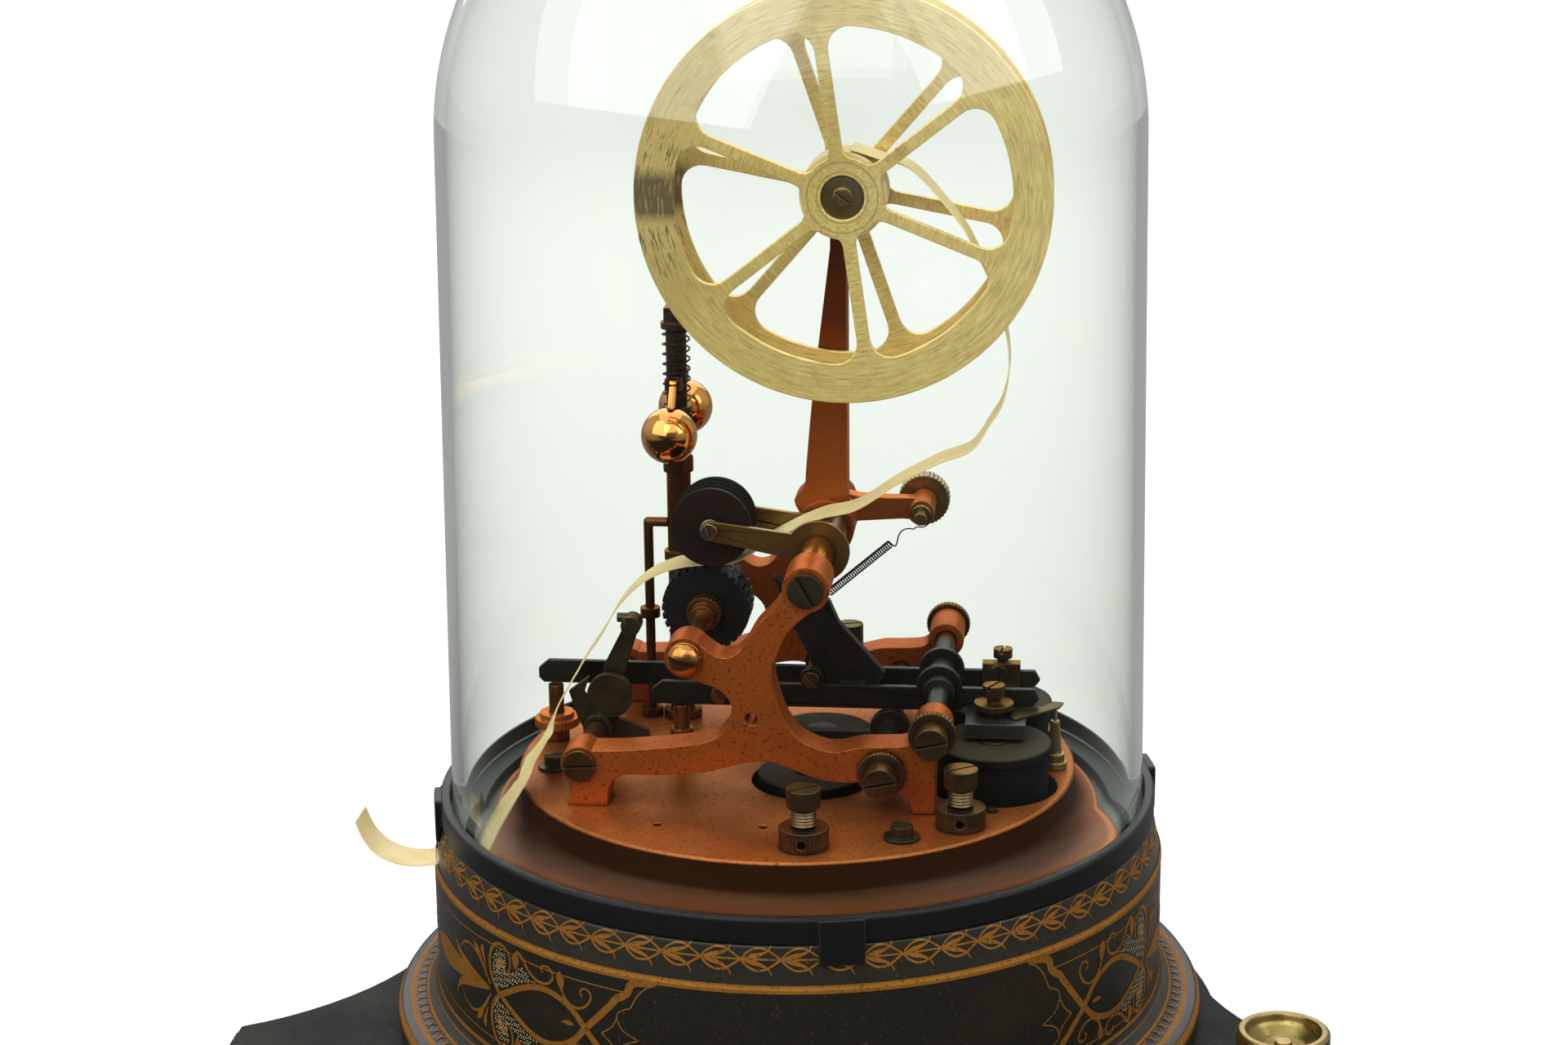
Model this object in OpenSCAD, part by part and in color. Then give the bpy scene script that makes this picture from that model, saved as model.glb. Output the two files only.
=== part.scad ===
// Stock ticker under a glass dome, on a round drum and a wooden board with two ears.
// X is to the right, Y away from the viewer along the shafts, Z up; millimetres.
// The origin is on the dome's axis at the underside of the board.

/* [Base board] */
// Radius of the round part of the board
board_r = 126; // [122:1:140]
// Thickness of the board
board_t = 28; // [20:1:40]
// Height of the step along the board's top edge
board_step_h = 3; // [1:0.5:6]
// Width of that step
board_step_w = 2; // [1:0.5:4]
// Reach of each ear from the middle
ear_reach = 166; // [158:1:185]
// Distance of an ear's rear corner in front of the middle
ear_back = 29.5; // [20:1:38]
// Distance of an ear's front corner in front of the middle
ear_front = 110; // [104:1:116]
// Distance of the terminals from the middle
terminal_x = 141.3; // [136:0.5:144]
// Distance of the rear terminal in front of the middle
terminal_y = 54.2; // [50:0.5:58]
// Distance between the two terminals
terminal_pitch = 31.8; // [28:0.5:36]
// Largest radius of a terminal nut
terminal_nut_r = 13; // [10:0.5:14]
// Height of a terminal nut
terminal_nut_h = 18; // [14:0.5:22]

/* [Drum] */
// Radius of the drum's foot
foot_r = 119.8; // [116:0.2:124]
// Height of the foot
foot_h = 8.5; // [6:0.5:12]
// Radius of the drum's wall
drum_r = 107.5; // [106.5:0.1:109]
// Thickness of the drum's wall
drum_wall = 4; // [3:0.5:6]
// Height of the drum above the board
drum_h = 64; // [60:1:80]
// Height of the sloping shoulder
shoulder_h = 11.7; // [9:0.3:15]
// Radius at the top of the shoulder
shoulder_r = 104.2; // [103.8:0.1:104.8]
// Thickness of the ledge that carries the ring and the plate
ledge_t = 4; // [3:0.5:6]
// Inner radius of the ledge
ledge_r = 84; // [82:0.5:86]

/* [Glass dome and its ring] */
// Outer radius of the glass at its foot
dome_r = 101.6; // [100.5:0.1:101.9]
// Outer radius of the glass where the cap begins, which is the cap's own radius
cap_r = 99; // [96:0.5:100]
// Height of the glass from its foot to the top
dome_h = 295.8; // [285:1:330]
// Thickness of the glass
glass_t = 3; // [2:0.25:4]
// Gap between the glass and the ring's wall
glass_gap = 0.5; // [0.3:0.1:1]
// Thickness of the ring's wall
ring_wall = 3; // [2.5:0.1:4]
// Height of the ring
ring_h = 7.8; // [6:0.2:10]
// Thickness of the ring's floor
ring_floor = 2.5; // [2:0.25:3]
// Inner radius of the ring's floor
ring_inner_r = 92.5; // [92.5:0.25:93.5]
// Width of each clip on the ring
clip_w = 12.4; // [10:0.2:15]
// Thickness of a clip
clip_t = 1.8; // [1.5:0.1:3]
// How far a clip hangs below the ring
clip_drop = 5; // [3:0.5:7]

/* [Mechanism plate] */
// Radius of the plate's top
plate_r = 81.8; // [80.5:0.2:83]
// Thickness of the plate
plate_t = 8; // [6:0.5:10]
// Height of the plate's top above the ledge
plate_rise = 14.5; // [13:0.5:18]
// Outer radius of the plate's flange
flange_r = 88.8; // [87:0.2:89.2]
// Height of the flange's edge
flange_h = 3; // [2:0.25:4]
// Inner radius of the plate's skirt
skirt_r = 79.7; // [79.6:0.1:79.8]

/* [Frames] */
// Distance of the front frame's front face in front of the middle
frame_front = 43.5; // [42:0.5:45]
// Thickness of the front frame
front_frame_t = 11; // [9:0.5:12]
// Clear distance between the two frames
frame_gap = 77; // [76:0.5:78]
// Thickness of the rear frame
rear_frame_t = 10; // [8:0.5:11]
// Height of the tie rod above the plate
tie_h = 65.1; // [63:0.5:68]
// Distance of the tie rod to the right of the middle
tie_x = 7.2; // [6:0.2:9]
// Radius of the tie rod
tie_r = 3; // [2.5:0.25:3.5]
// Radius of the boss round the tie rod
tie_boss_r = 6.6; // [6:0.2:7.5]
// Radius of the plain bosses of the frame
arm_boss_r = 5.9; // [5.6:0.1:6.5]
// Radius of the bosses of the press and shift pivots
pivot_boss_r = 5.4; // [5:0.1:6]

/* [Shaft places] */
// Type shaft, distance to the left of the middle
type_left = 26.6; // [26:0.2:27.2]
// Type shaft, height above the plate
type_h = 44.7; // [44:0.2:45.2]
// Press pivot, distance to the right of the middle
press_x = 42.2; // [41:0.2:44]
// Press pivot, height above the plate
press_h = 24.25; // [23.5:0.25:25.5]
// Shift pivot, distance to the right of the middle
shift_x = 28.1; // [26:0.2:30]
// Shift pivot, height above the plate
shift_h = 12.2; // [11:0.2:13]
// Feed pivot, distance to the left of the middle
feed_left = 57; // [56:0.2:58]
// Feed pivot, height above the plate
feed_h = 12.2; // [11:0.2:13.5]
// Radius of the rocking shafts
shaft_r = 3; // [2.6:0.1:3.2]
// Radius of the type shaft
type_shaft_r = 2.2; // [2:0.1:2.6]
// Radius of the points that carry a shaft
point_r = 1; // [0.8:0.1:1.2]
// Radius of a pivot screw
pivot_screw_r = 3; // [2.6:0.1:3.2]
// Radius of a lock nut
lock_nut_r = 6.8; // [6:0.2:7.2]
// Thickness of a lock nut
lock_nut_t = 2.5; // [2:0.25:3]
// Radius of a pivot screw's head
pivot_head_r = 4.6; // [4:0.1:5]
// Length of a pivot screw's head
pivot_head_h = 7.5; // [6:0.5:9]

/* [Paper reel] */
// Radius of the reel
reel_r = 59; // [56:0.5:61]
// Width of the reel's rim
rim_w = 11.3; // [9:0.3:13]
// Radius of the reel's hub
hub_r = 11.4; // [10:0.2:12.5]
// Thickness of a reel flange
reel_flange_t = 2; // [1.5:0.25:2.5]
// Room for the paper between the flanges
paper_room = 14; // [13.6:0.1:14.2]
// Number of spokes
spoke_count = 6; // [4:1:8]
// Width of a spoke
spoke_w = 3.7; // [3:0.1:5]
// Radius of the fillets at the ends of a spoke
spoke_fillet = 6; // [3:0.5:7]
// Reel, distance to the right of the middle
reel_x = 14.3; // [13.5:0.1:15]
// Reel, height above the plate
reel_h = 166.8; // [165:0.5:170]
// Distance of the reel's front face in front of the middle
reel_front = 1; // [0.8:0.1:1.2]
// Radius of the reel's axle
axle_r = 3; // [2.5:0.25:3.5]
// Thickness of the paper left on the hub
paper_left = 1; // [0.6:0.2:1.4]
// Width of the paper tape
tape_w = 12.7; // [12.5:0.1:12.8]
// Thickness of the paper tape as drawn
tape_t = 0.4; // [0.3:0.05:0.5]

/* [Inking and type wheels] */
// Radius of the ink roller
roller_r = 12; // [11.5:0.1:12.1]
// Ink roller, distance to the left of the middle
roller_left = 24; // [23.6:0.2:24.4]
// Ink roller, height above the plate
roller_h = 70.7; // [70.6:0.1:71.5]
// Width of the ink roller with its cheeks
roller_w = 14; // [13:0.2:14.2]
// Thickness of a cheek of the roller
cheek_t = 1.5; // [1:0.1:2]
// Thickness of an arm of the fork
fork_t = 1.6; // [1.2:0.1:1.8]
// Radius of the roller's axle
roller_axle_r = 1.5; // [1.2:0.1:1.8]
// Radius of a type wheel over its types
type_wheel_r = 13; // [12.5:0.1:13.1]
// Number of types on a wheel
type_count = 30; // [24:1:36]
// Height of a type
type_tall = 0.9; // [0.6:0.1:1.2]
// Width of the front type wheel
front_wheel_w = 5.9; // [5:0.1:6]
// Width of the rear type wheel
rear_wheel_w = 5.4; // [5:0.1:5.6]
// Radius of the escape wheel
escape_r = 9; // [8:0.5:10]

/* [Press lever and magnets] */
// Thickness of a lever plate
lever_t = 2; // [1.5:0.25:2.2]
// Height of a lever plate
lever_tall = 7; // [6:0.25:7.5]
// Radius of the hump of a lever plate round its pivot
hump_r = 6.7; // [6:0.1:7.5]
// Reach of the front plate to the left of the middle
front_lever_left = 42; // [40:1:43]
// Reach of the rear plate to the left of the middle
rear_lever_left = 79; // [78.5:0.5:81]
// Reach of both plates to the right of the middle
lever_right = 71.3; // [70:0.5:72]
// Clear distance between the two plates
lever_gap = 14.5; // [14:0.25:15]
// Width of the armature
armature_w = 17.2; // [14:0.2:18]
// Thickness of the armature
armature_t = 4.2; // [3.6:0.2:4.6]
// Gap between the armature and the magnet's cores
air_gap = 1; // [0.9:0.1:1.4]
// Press magnet, distance to the right of the middle
press_coil_x = 58.2; // [57.5:0.1:58.4]
// Press magnet, distance of each coil from the middle line
press_coil_y = 18.2; // [17.6:0.1:18.3]
// Radius of a press coil
press_coil_r = 16.7; // [15:0.1:16.9]
// Height of a press coil's top above the plate
press_coil_h = 13.5; // [12:0.25:13.6]
// Type magnet, distance to the right of the middle
type_coil_x = 6; // [5:0.2:7]
// Type magnet, distance of each coil from the middle line
type_coil_y = 17.5; // [17:0.1:18]
// Radius of a type coil
type_coil_r = 15.5; // [14:0.1:15.7]
// Height of a type coil's top above the plate
type_coil_h = 2.5; // [2:0.25:4]
// Length of every coil
coil_len = 40; // [34:1:44]
// Radius of the magnets' cores
core_r = 4.5; // [4:0.1:5]
// Gap between a coil and its hole in the plate
coil_gap = 1.7; // [1.2:0.1:1.7]
// Thickness of a magnet's yoke
yoke_t = 4; // [3:0.5:6]

/* [Governor] */
// Governor, distance to the left of the middle
gov_left = 38.5; // [38:0.1:39]
// Governor, distance behind the middle
gov_back = 34; // [33.6:0.1:34.6]
// Radius of the column
column_r = 3.65; // [3.4:0.05:4]
// Height of the column above the plate
column_h = 80.2; // [78:0.2:82]
// Radius of the spindle inside the column
spindle_r = 1.7; // [1.4:0.1:2]
// Radius of the spindle's thick upper part
spindle_top_r = 3.1; // [2.8:0.1:3.2]
// Height of the spindle's top above the plate
spindle_h = 128; // [126:0.5:130]
// Radius of a governor ball
ball_r = 8.3; // [8:0.1:8.4]
// Distance of a ball's middle from the spindle
ball_out = 17.7; // [17.2:0.1:18]
// Height of the balls above the plate
ball_h = 93; // [92.5:0.1:93.5]
// Height of the ball pivots above the plate
knuckle_h = 105.8; // [105.4:0.1:106.2]
// Mean radius of the governor's spring
gov_spring_r = 4; // [3.9:0.05:4.2]
// Turns of the governor's spring
gov_turns = 7.5; // [6:0.5:8]
// Diameter of its wire
gov_wire = 0.5; // [0.4:0.05:0.6]

/* [Tension spring] */
// Mean radius of the tension spring
pull_spring_r = 1.1; // [0.9:0.05:1.3]
// Turns of the tension spring
pull_turns = 32; // [20:1:34]
// Diameter of its wire
pull_wire = 0.34; // [0.25:0.01:0.36]
// Radius of the hand knob that sets the spring
knob_r = 7.8; // [6:0.2:8.5]

/* [Fits] */
// Radial gap of a shaft that turns in its bore
run_gap = 0.05; // [0.03:0.01:0.08]
// Gap at the sides of a piece that turns
side_gap = 0.3; // [0.2:0.05:0.4]
// Radial gap of a screw in a clear hole
hole_gap = 0.1; // [0.05:0.05:0.2]

/* [Hidden] */
$fn = 64;

// Levels
ledge_z = board_t + drum_h;
plate_z = ledge_z + plate_rise;
glass_z = ledge_z + ring_floor;
ring_top = ledge_z + ring_h;
cap_z = glass_z + dome_h - cap_r;

// Faces of the frames along the shafts
front_y = -frame_front;
front_back_y = front_y + front_frame_t;
rear_y = front_back_y + frame_gap;
rear_back_y = rear_y + rear_frame_t;

// Shaft axes as [x, z]
tie_p = [tie_x, plate_z + tie_h];
type_p = [-type_left, plate_z + type_h];
press_p = [press_x, plate_z + press_h];
shift_p = [shift_x, plate_z + shift_h];
feed_p = [-feed_left, plate_z + feed_h];
reel_p = [reel_x, plate_z + reel_h];
roller_p = [-roller_left, plate_z + roller_h];

// Stations of the paper along Y
reel_y = -reel_front;
room_y = reel_y + reel_flange_t;
reel_back_y = room_y + paper_room + reel_flange_t;
tape_y = room_y + paper_room / 2;
axle_collar_t = 0.7;
pillar_y = reel_back_y + side_gap + axle_collar_t;
pillar_t = 10;

// Stations of the stack on the tie rod
sleeve_y = front_back_y + 4.5;
fork_y = tape_y - 14.5;
fork_back_y = tape_y + tape_w / 2 + 2.05;
pillar_boss_y = fork_back_y + side_gap;
pillar_boss_end = pillar_boss_y + 13.3;
spring_arm_end = pillar_boss_end + 7;

// Feet of the frames: the two sides of each, and their screws
foot_l = [-60.6, -49.4];
foot_r_x = [36.6, 43];
foot_in_l = (foot_l[0] + foot_l[1]) / 2;
foot_in_r = (foot_r_x[0] + foot_r_x[1]) / 2;

// Stations of the press lever
front_lever_y = tape_y - 13.5;
rear_lever_y = front_lever_y + lever_t + lever_gap;
crank_y = front_lever_y + lever_t + 4.5;
crank_t = 3;
spring_stud_r = 0.6;

// Colours
copper = "#b5622c";
dark_copper = "#6e2f1a";
bronze = "#4a3526";
brass = "#b08d4c";
steel = "#2a2623";
black = "#1a1a1c";

// Helpers

// Round bar along Y from y0 over the length l
module bar_y(p, y0, l, r) {
    translate([p[0], y0, p[1]]) rotate([-90, 0, 0]) cylinder(r = r, h = l);
}

// Flat piece whose outline lies in X and Z, from y0 over the thickness t
module plate_y(y0, t) {
    translate([0, y0 + t, 0]) rotate([90, 0, 0]) linear_extrude(t) children();
}

// Upright round bar
module post(x, y, z, h, r) {
    translate([x, y, z]) cylinder(r = r, h = h);
}

// Straight cut across the head of a screw whose face looks towards -Y
module slot_y(p, y0, w, deep, r, turn) {
    translate([p[0], y0, p[1]]) rotate([0, turn, 0]) translate([-r - 1, -1, -w / 2])
        cube([2 * r + 2, deep + 1, w]);
}

// Straight cut across the top of an upright screw
module slot_z(x, y, top, w, deep, r, turn) {
    translate([x, y, top - deep]) rotate([0, 0, turn]) translate([-r - 1, -w / 2, 0])
        cube([2 * r + 2, w, deep + 1]);
}

// Knurled disc as a flat outline
module knurl(r, n, deep) {
    polygon([for (i = [0 : 2 * n - 1]) (r - (i % 2) * deep) * [cos(180 * i / n), sin(180 * i / n)]]);
}

// Points of a curve through the points p, with k steps from each point to the next
function through(p, k) = [
    for (i = [0 : len(p) - 2], j = [0 : k - 1])
        let (t = j / k,
             a = p[max(i - 1, 0)], b = p[i], c = p[i + 1], d = p[min(i + 2, len(p) - 1)])
        0.5 * (2 * b + (c - a) * t + (2 * a - 5 * b + 4 * c - d) * t * t
            + (3 * b - a - 3 * c + d) * t * t * t),
    p[len(p) - 1]];

// Points of a cubic curve with four guide points
function guided(a, b, c, d, n) = [for (i = [0 : n]) let (t = i / n, s = 1 - t)
    s * s * s * a + 3 * s * s * t * b + 3 * s * t * t * c + t * t * t * d];

// Points of an arc about c
function arc(c, r, a0, a1, n) = [for (i = [0 : n])
    c + r * [cos(a0 + (a1 - a0) * i / n), sin(a0 + (a1 - a0) * i / n)]];

function unit(v) = v / norm(v);

// Faces of a tube of n rings with m corners each
function tube_faces(n, m) = concat(
    [for (i = [0 : n - 2], j = [0 : m - 1]) [i * m + j, i * m + (j + 1) % m, (i + 1) * m + j]],
    [for (i = [0 : n - 2], j = [0 : m - 1])
        [i * m + (j + 1) % m, (i + 1) * m + (j + 1) % m, (i + 1) * m + j]],
    [[for (j = [0 : m - 1]) m - 1 - j]],
    [[for (j = [0 : m - 1]) (n - 1) * m + j]]);

function tangents(p) = [for (i = [0 : len(p) - 1])
    unit(p[min(i + 1, len(p) - 1)] - p[max(i - 1, 0)])];

// One side vector for each point, carried along the route without twist
function carried(t, first) = [for (i = 0, u = unit(first - (first * t[0]) * t[0]);
    i < len(t);
    i = i + 1, u = i < len(t) ? unit(u - (u * t[i]) * t[i]) : u) u];

// Round wire of radius r along the points p
module wire(p, r, first, sides = 6) {
    t = tangents(p);
    u = carried(t, first);
    rings = [for (i = [0 : len(p) - 1], j = [0 : sides - 1])
        p[i] + r * (cos(360 * j / sides) * u[i] + sin(360 * j / sides) * cross(t[i], u[i]))];
    polyhedron(points = rings, faces = tube_faces(len(p), sides));
}

// Least distance between stretches of a wire that lie at least `apart` points from each other
function least_gap(p, apart) = min([for (i = [0 : len(p) - 1 - apart], j = [i + apart : len(p) - 1])
    norm(p[i] - p[j])]);

// Base

// One ear of the board, with its front and back drawn in by the width of the step
function ear(inset) =
    let (corner = [-ear_reach + inset, -ear_back - inset],
         front = [-ear_reach + inset, -ear_front + inset],
         start = (board_r - inset - 1) * [-cos(12), sin(12)],
         end = (board_r - inset - 1) * [-cos(49), -sin(49)])
    concat([[-board_r / 2, -board_r / 4]],
        guided(start, [-board_r - 1 + inset, 2], corner + [20, 10.5], corner, 10),
        guided(front, front + [26, 9], end + [-27, -5], end, 8));

module board_outline(inset) {
    circle(r = board_r - inset, $fn = 128);
    for (side = [0, 1]) mirror([side, 0]) polygon(ear(inset));
}

stud_r = 2.5;
stud_deep = 12;
stud_collar = 3;
terminals = [[terminal_x, -terminal_y], [terminal_x, -terminal_y - terminal_pitch]];

module board() color(black) difference() {
    union() {
        linear_extrude(board_t - board_step_h) board_outline(0);
        translate([0, 0, board_t - board_step_h]) linear_extrude(board_step_h)
            board_outline(board_step_w);
    }
    for (p = terminals) post(p[0], p[1], board_t - stud_deep, stud_deep + 1, stud_r);
}

// Studs with a collar each, screwed into the right ear
module terminal_studs() color(brass) for (p = terminals) {
    post(p[0], p[1], board_t - stud_deep, stud_deep + terminal_nut_h, stud_r);
    post(p[0], p[1], board_t, stud_collar, 2.8 * stud_r);
}

// Cup-shaped hand nut on a stud
module terminal_nut(p) {
    rim = terminal_nut_r;
    h = terminal_nut_h;
    translate([p[0], p[1], board_t + stud_collar + side_gap]) rotate_extrude()
        polygon([[stud_r + run_gap, 0], [rim * 0.45, 0], [rim * 0.45, h * 0.3],
            [rim * 0.62, h * 0.55], [rim * 0.94, h * 0.7], [rim, h * 0.76], [rim, h * 0.96],
            [rim - 0.8, h], [rim - 2.4, h], [rim - 3.2, h * 0.86], [rim * 0.5, h * 0.7],
            [stud_r + run_gap, h * 0.66]]);
}

module terminal_nut_rear() color(brass) terminal_nut(terminals[0]);
module terminal_nut_front() color(brass) terminal_nut(terminals[1]);

// Slit for the tape: through the ledge, between the plate and the ring
slit_r = 91;
slit_turn = 22.6;
slit_w = 2.4;
slit_len = 14.5;
exit_y = -24;
exit_z = ledge_z - 10.9;
exit_h = 3.8;

module tape_slit() {
    rotate([0, 0, slit_turn]) translate([-slit_r - slit_w / 2, -slit_len / 2, ledge_z - ledge_t - 1])
        cube([slit_w, slit_len, ledge_t + ring_h + 2]);
}

// Turned sheet-metal drum with a coved foot and an inner ledge
module drum() color(black) difference() {
    translate([0, 0, board_t]) rotate_extrude($fn = 128) polygon(concat(
        [[foot_r - 1, 0], [foot_r, 1], [foot_r, foot_h - 1.5], [foot_r - 1, foot_h],
            [foot_r - 2.6, foot_h + 0.4]],
        guided([foot_r - 3.2, foot_h + 0.6], [drum_r + 2.6, foot_h + 1.6],
            [drum_r + 0.2, foot_h + 4.4], [drum_r, foot_h + 10], 8),
        [[drum_r, drum_h - shoulder_h], [drum_r - 0.5, drum_h - shoulder_h + 0.8],
            [shoulder_r + 0.6, drum_h - 0.8], [shoulder_r, drum_h], [ledge_r, drum_h],
            [ledge_r, drum_h - ledge_t], [shoulder_r - drum_wall + 0.4, drum_h - ledge_t],
            [drum_r - drum_wall, drum_h - shoulder_h], [drum_r - drum_wall, 0]]));
    tape_slit();
    translate([-drum_r - 2, exit_y - slit_len / 2, exit_z - exit_h / 2])
        cube([drum_wall + 9, slit_len, exit_h]);
}

// Ring with a floor that the glass stands on, held by four clips, with a thin guide for the tape
guide_w = 6.6;
guide_h = 10.5;

module dome_ring() color(black) {
    inner = dome_r + glass_gap;
    outer = inner + ring_wall;
    slope = (drum_r - 0.5 - shoulder_r) / (shoulder_h - 0.8);
    translate([0, 0, ledge_z]) rotate_extrude($fn = 128)
        polygon([[ring_inner_r, 0], [shoulder_r, 0], [outer, 0.5], [outer, ring_h - 0.7],
            [outer - 0.7, ring_h], [inner, ring_h], [inner, ring_floor],
            [ring_inner_r, ring_floor]]);
    rotate([0, 0, slit_turn - 3.2]) translate([-ring_inner_r - 0.9, -guide_w / 2, ledge_z + 1])
        cube([0.6, guide_w, guide_h]);
    for (a = [12 : 90 : 282]) rotate([0, 0, a]) intersection() {
        translate([0, 0, ledge_z]) rotate_extrude($fn = 128)
            polygon([[outer - 0.2, 0.8], [outer - 0.2, ring_h], [outer + clip_t, ring_h],
                [outer + clip_t, -clip_drop], [shoulder_r + slope * clip_drop + 0.3, -clip_drop],
                [shoulder_r + 0.5, 0]]);
        translate([-clip_w / 2, -outer - 5, ledge_z - clip_drop - 1])
            cube([clip_w, 20, ring_h + clip_drop + 2]);
    }
}

// Blown glass dome, open at its foot
module glass_dome() color("#cfe0d8", 0.35) translate([0, 0, glass_z]) {
    cap = cap_z - glass_z;
    rotate_extrude($fn = 128) difference() {
        union() {
            polygon([[0, 0], [dome_r, 0], [cap_r, cap], [0, cap]]);
            intersection() {
                translate([0, cap]) circle(r = cap_r, $fn = 128);
                translate([0, cap]) square(cap_r + 1);
            }
        }
        union() {
            polygon([[-1, -1], [dome_r - glass_t, -1], [dome_r - glass_t, 0], [cap_r - glass_t, cap],
                [-1, cap]]);
            translate([0, cap]) circle(r = cap_r - glass_t, $fn = 128);
        }
        translate([-2 * cap_r, -2]) square([2 * cap_r, 2 * dome_h]);
    }
}

// Mechanism plate

press_coils_at = [[press_coil_x, -press_coil_y], [press_coil_x, press_coil_y]];
type_coils_at = [[type_coil_x, -type_coil_y], [type_coil_x, type_coil_y]];
binding_a = [8.7, -69.3];
binding_b = [50.4, -51.1];
washer_screw = [34.8, -61.3];
left_screw = [-69.8, -13.9];
nickel_pin = [58.6, -39.3];
small_holes = [[-33.3, -56.3], [-3.8, -55.9]];
stop_rear_at = [-73.7, 10.5];
stop_front_at = [-33.5, -4.5];
contact_at = [75.8, -2.9];
frame_screw_r = 2;
frame_screws_at = [for (x = [foot_in_l, foot_in_r], y = [front_y + front_frame_t / 2, rear_y + rear_frame_t / 2])
    [x, y]];
small_screw_r = 1.6;

module mechanism_plate() color(copper) difference() {
    under = plate_rise - plate_t;
    translate([0, 0, ledge_z]) rotate_extrude($fn = 128) polygon(concat(
        [[0, plate_rise], [plate_r - 0.6, plate_rise], [plate_r, plate_rise - 0.6]],
        guided([plate_r, plate_rise - 6.5], [plate_r + 0.4, plate_rise - 9.5],
            [plate_r + 3, flange_h + 0.4], [flange_r - 0.6, flange_h], 8),
        [[flange_r, flange_h - 0.6], [flange_r, 0], [skirt_r, 0], [skirt_r, under], [0, under]]));
    for (p = press_coils_at) post(p[0], p[1], ledge_z, plate_rise + 1, press_coil_r + coil_gap);
    for (p = type_coils_at) post(p[0], p[1], ledge_z, plate_rise + 1, type_coil_r + coil_gap);
    for (x = [press_coil_x, type_coil_x]) translate([x - 6, -3, ledge_z]) cube([12, 6, plate_rise + 1]);
    for (p = small_holes) post(p[0], p[1], ledge_z, plate_rise + 1, 1.2);
    for (p = frame_screws_at) post(p[0], p[1], ledge_z, plate_rise + 1, frame_screw_r + hole_gap);
    for (p = [binding_a, binding_b, washer_screw, left_screw, nickel_pin, contact_at])
        post(p[0], p[1], ledge_z, plate_rise + 1, small_screw_r);
    post(-gov_left, gov_back, ledge_z, plate_rise + 1, spindle_r + 1);
}

// Frames

// Outline of a frame, from guide points set from the shafts and the feet
module frame_outline() {
    arch = through([[foot_l[1], plate_z], [foot_l[1] + 0.8, plate_z + 6], [foot_l[1] + 4.6, plate_z + 9.3],
        [-34.5, feed_p[1] - 2.5], [-21.3, feed_p[1] - 1.3], [-11.6, shift_p[1] + 1.4],
        [-3.5, shift_p[1] + 2.3], [shift_x - 24.8, shift_p[1] + 0.1], [shift_x - 18, shift_p[1] - 2.4],
        [shift_x - 10.5, shift_p[1] - 3.3], [shift_x - 4, shift_p[1] - 3.2],
        [shift_x + 3.6, shift_p[1] - 4.9], [foot_r_x[0] - 1.4, plate_z + 4.6],
        [foot_r_x[0], plate_z]], 4);
    bay = through([[press_x - 2, press_p[1] + 3], [press_x - 5, press_p[1] - 1.6],
        [press_x - 7.4, press_p[1] - 3.9], [press_x - 13, press_p[1] - 4.5],
        [press_x - 20, press_p[1] - 4.8], [press_x - 27.5, press_p[1] - 6.4],
        [press_x - 34, press_p[1] - 4.8], [4, press_p[1] - 1.8], [0.2, press_p[1] + 4.4],
        [-2.4, press_p[1] + 15], [-0.7, tie_p[1] - 18.7], [3.2, tie_p[1] - 11.2],
        [tie_x + 4.6, tie_p[1] - 4]], 4);
    valley = through([[tie_x - 6.4, tie_p[1] - 1.6], [tie_x - 9.4, tie_p[1] - 6.2],
        [tie_x - 14.2, type_p[1] + 9], [tie_x - 17.6, type_p[1] + 3.2], [-13.6, type_p[1] + 0.6],
        [-17.6, type_p[1] + 0.5], [type_p[0] + 4.4, type_p[1] + 3.8]], 4);
    window = through([[type_p[0] - 1, type_p[1] - 5.4], [type_p[0] + 4.6, type_p[1] - 7.4],
        [type_p[0] + 9.6, type_p[1] - 9.4], [type_p[0] + 12.7, type_p[1] - 13.6],
        [type_p[0] + 11.6, type_p[1] - 19.6], [-20, feed_p[1] + 8.1], [-31.6, feed_p[1] + 5.9],
        [-44, feed_p[1] + 4.6], [feed_p[0] + 3, feed_p[1] + 4.2]], 4);
    difference() {
        union() {
            polygon(concat([[foot_l[0], plate_z]], arch, [[foot_r_x[1], plate_z],
                [foot_r_x[1], press_p[1] - 5]], bay, valley, window,
                [[feed_p[0] - 5.3, feed_p[1] - 1], [foot_l[0] + 0.6, plate_z + 5]]));
            translate(tie_p) circle(r = tie_boss_r);
            translate(type_p) circle(r = arm_boss_r);
            translate(press_p) circle(r = pivot_boss_r);
            translate(shift_p) circle(r = pivot_boss_r);
            translate(feed_p) circle(r = pivot_boss_r);
        }
        translate(tie_p) circle(r = tie_r + hole_gap);
        translate(type_p) circle(r = pivot_screw_r + hole_gap);
        translate(press_p) circle(r = pivot_screw_r + hole_gap);
        translate(shift_p) circle(r = pivot_screw_r + hole_gap);
        translate(feed_p) circle(r = feed_shaft_r + hole_gap);
        translate([-8.3, type_p[1] - 17.7]) circle(r = 1.8);
    }
}

module foot_screw_holes(y) {
    for (x = [foot_in_l, foot_in_r]) post(x, y, plate_z - 1, 7, frame_screw_r);
}

module front_frame() color(copper) difference() {
    union() {
        plate_y(front_y, front_frame_t) frame_outline();
        difference() {
            bar_y(tie_p, front_back_y, sleeve_y - front_back_y, tie_boss_r);
            bar_y(tie_p, front_back_y - 1, 2 + sleeve_y - front_back_y, tie_r + hole_gap);
        }
    }
    foot_screw_holes(front_y + front_frame_t / 2);
}

rear_boss = 6;
rear_screw_at = [12, rear_y + 4.2];
rear_screw_z = press_p[1] - 6.8;

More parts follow.
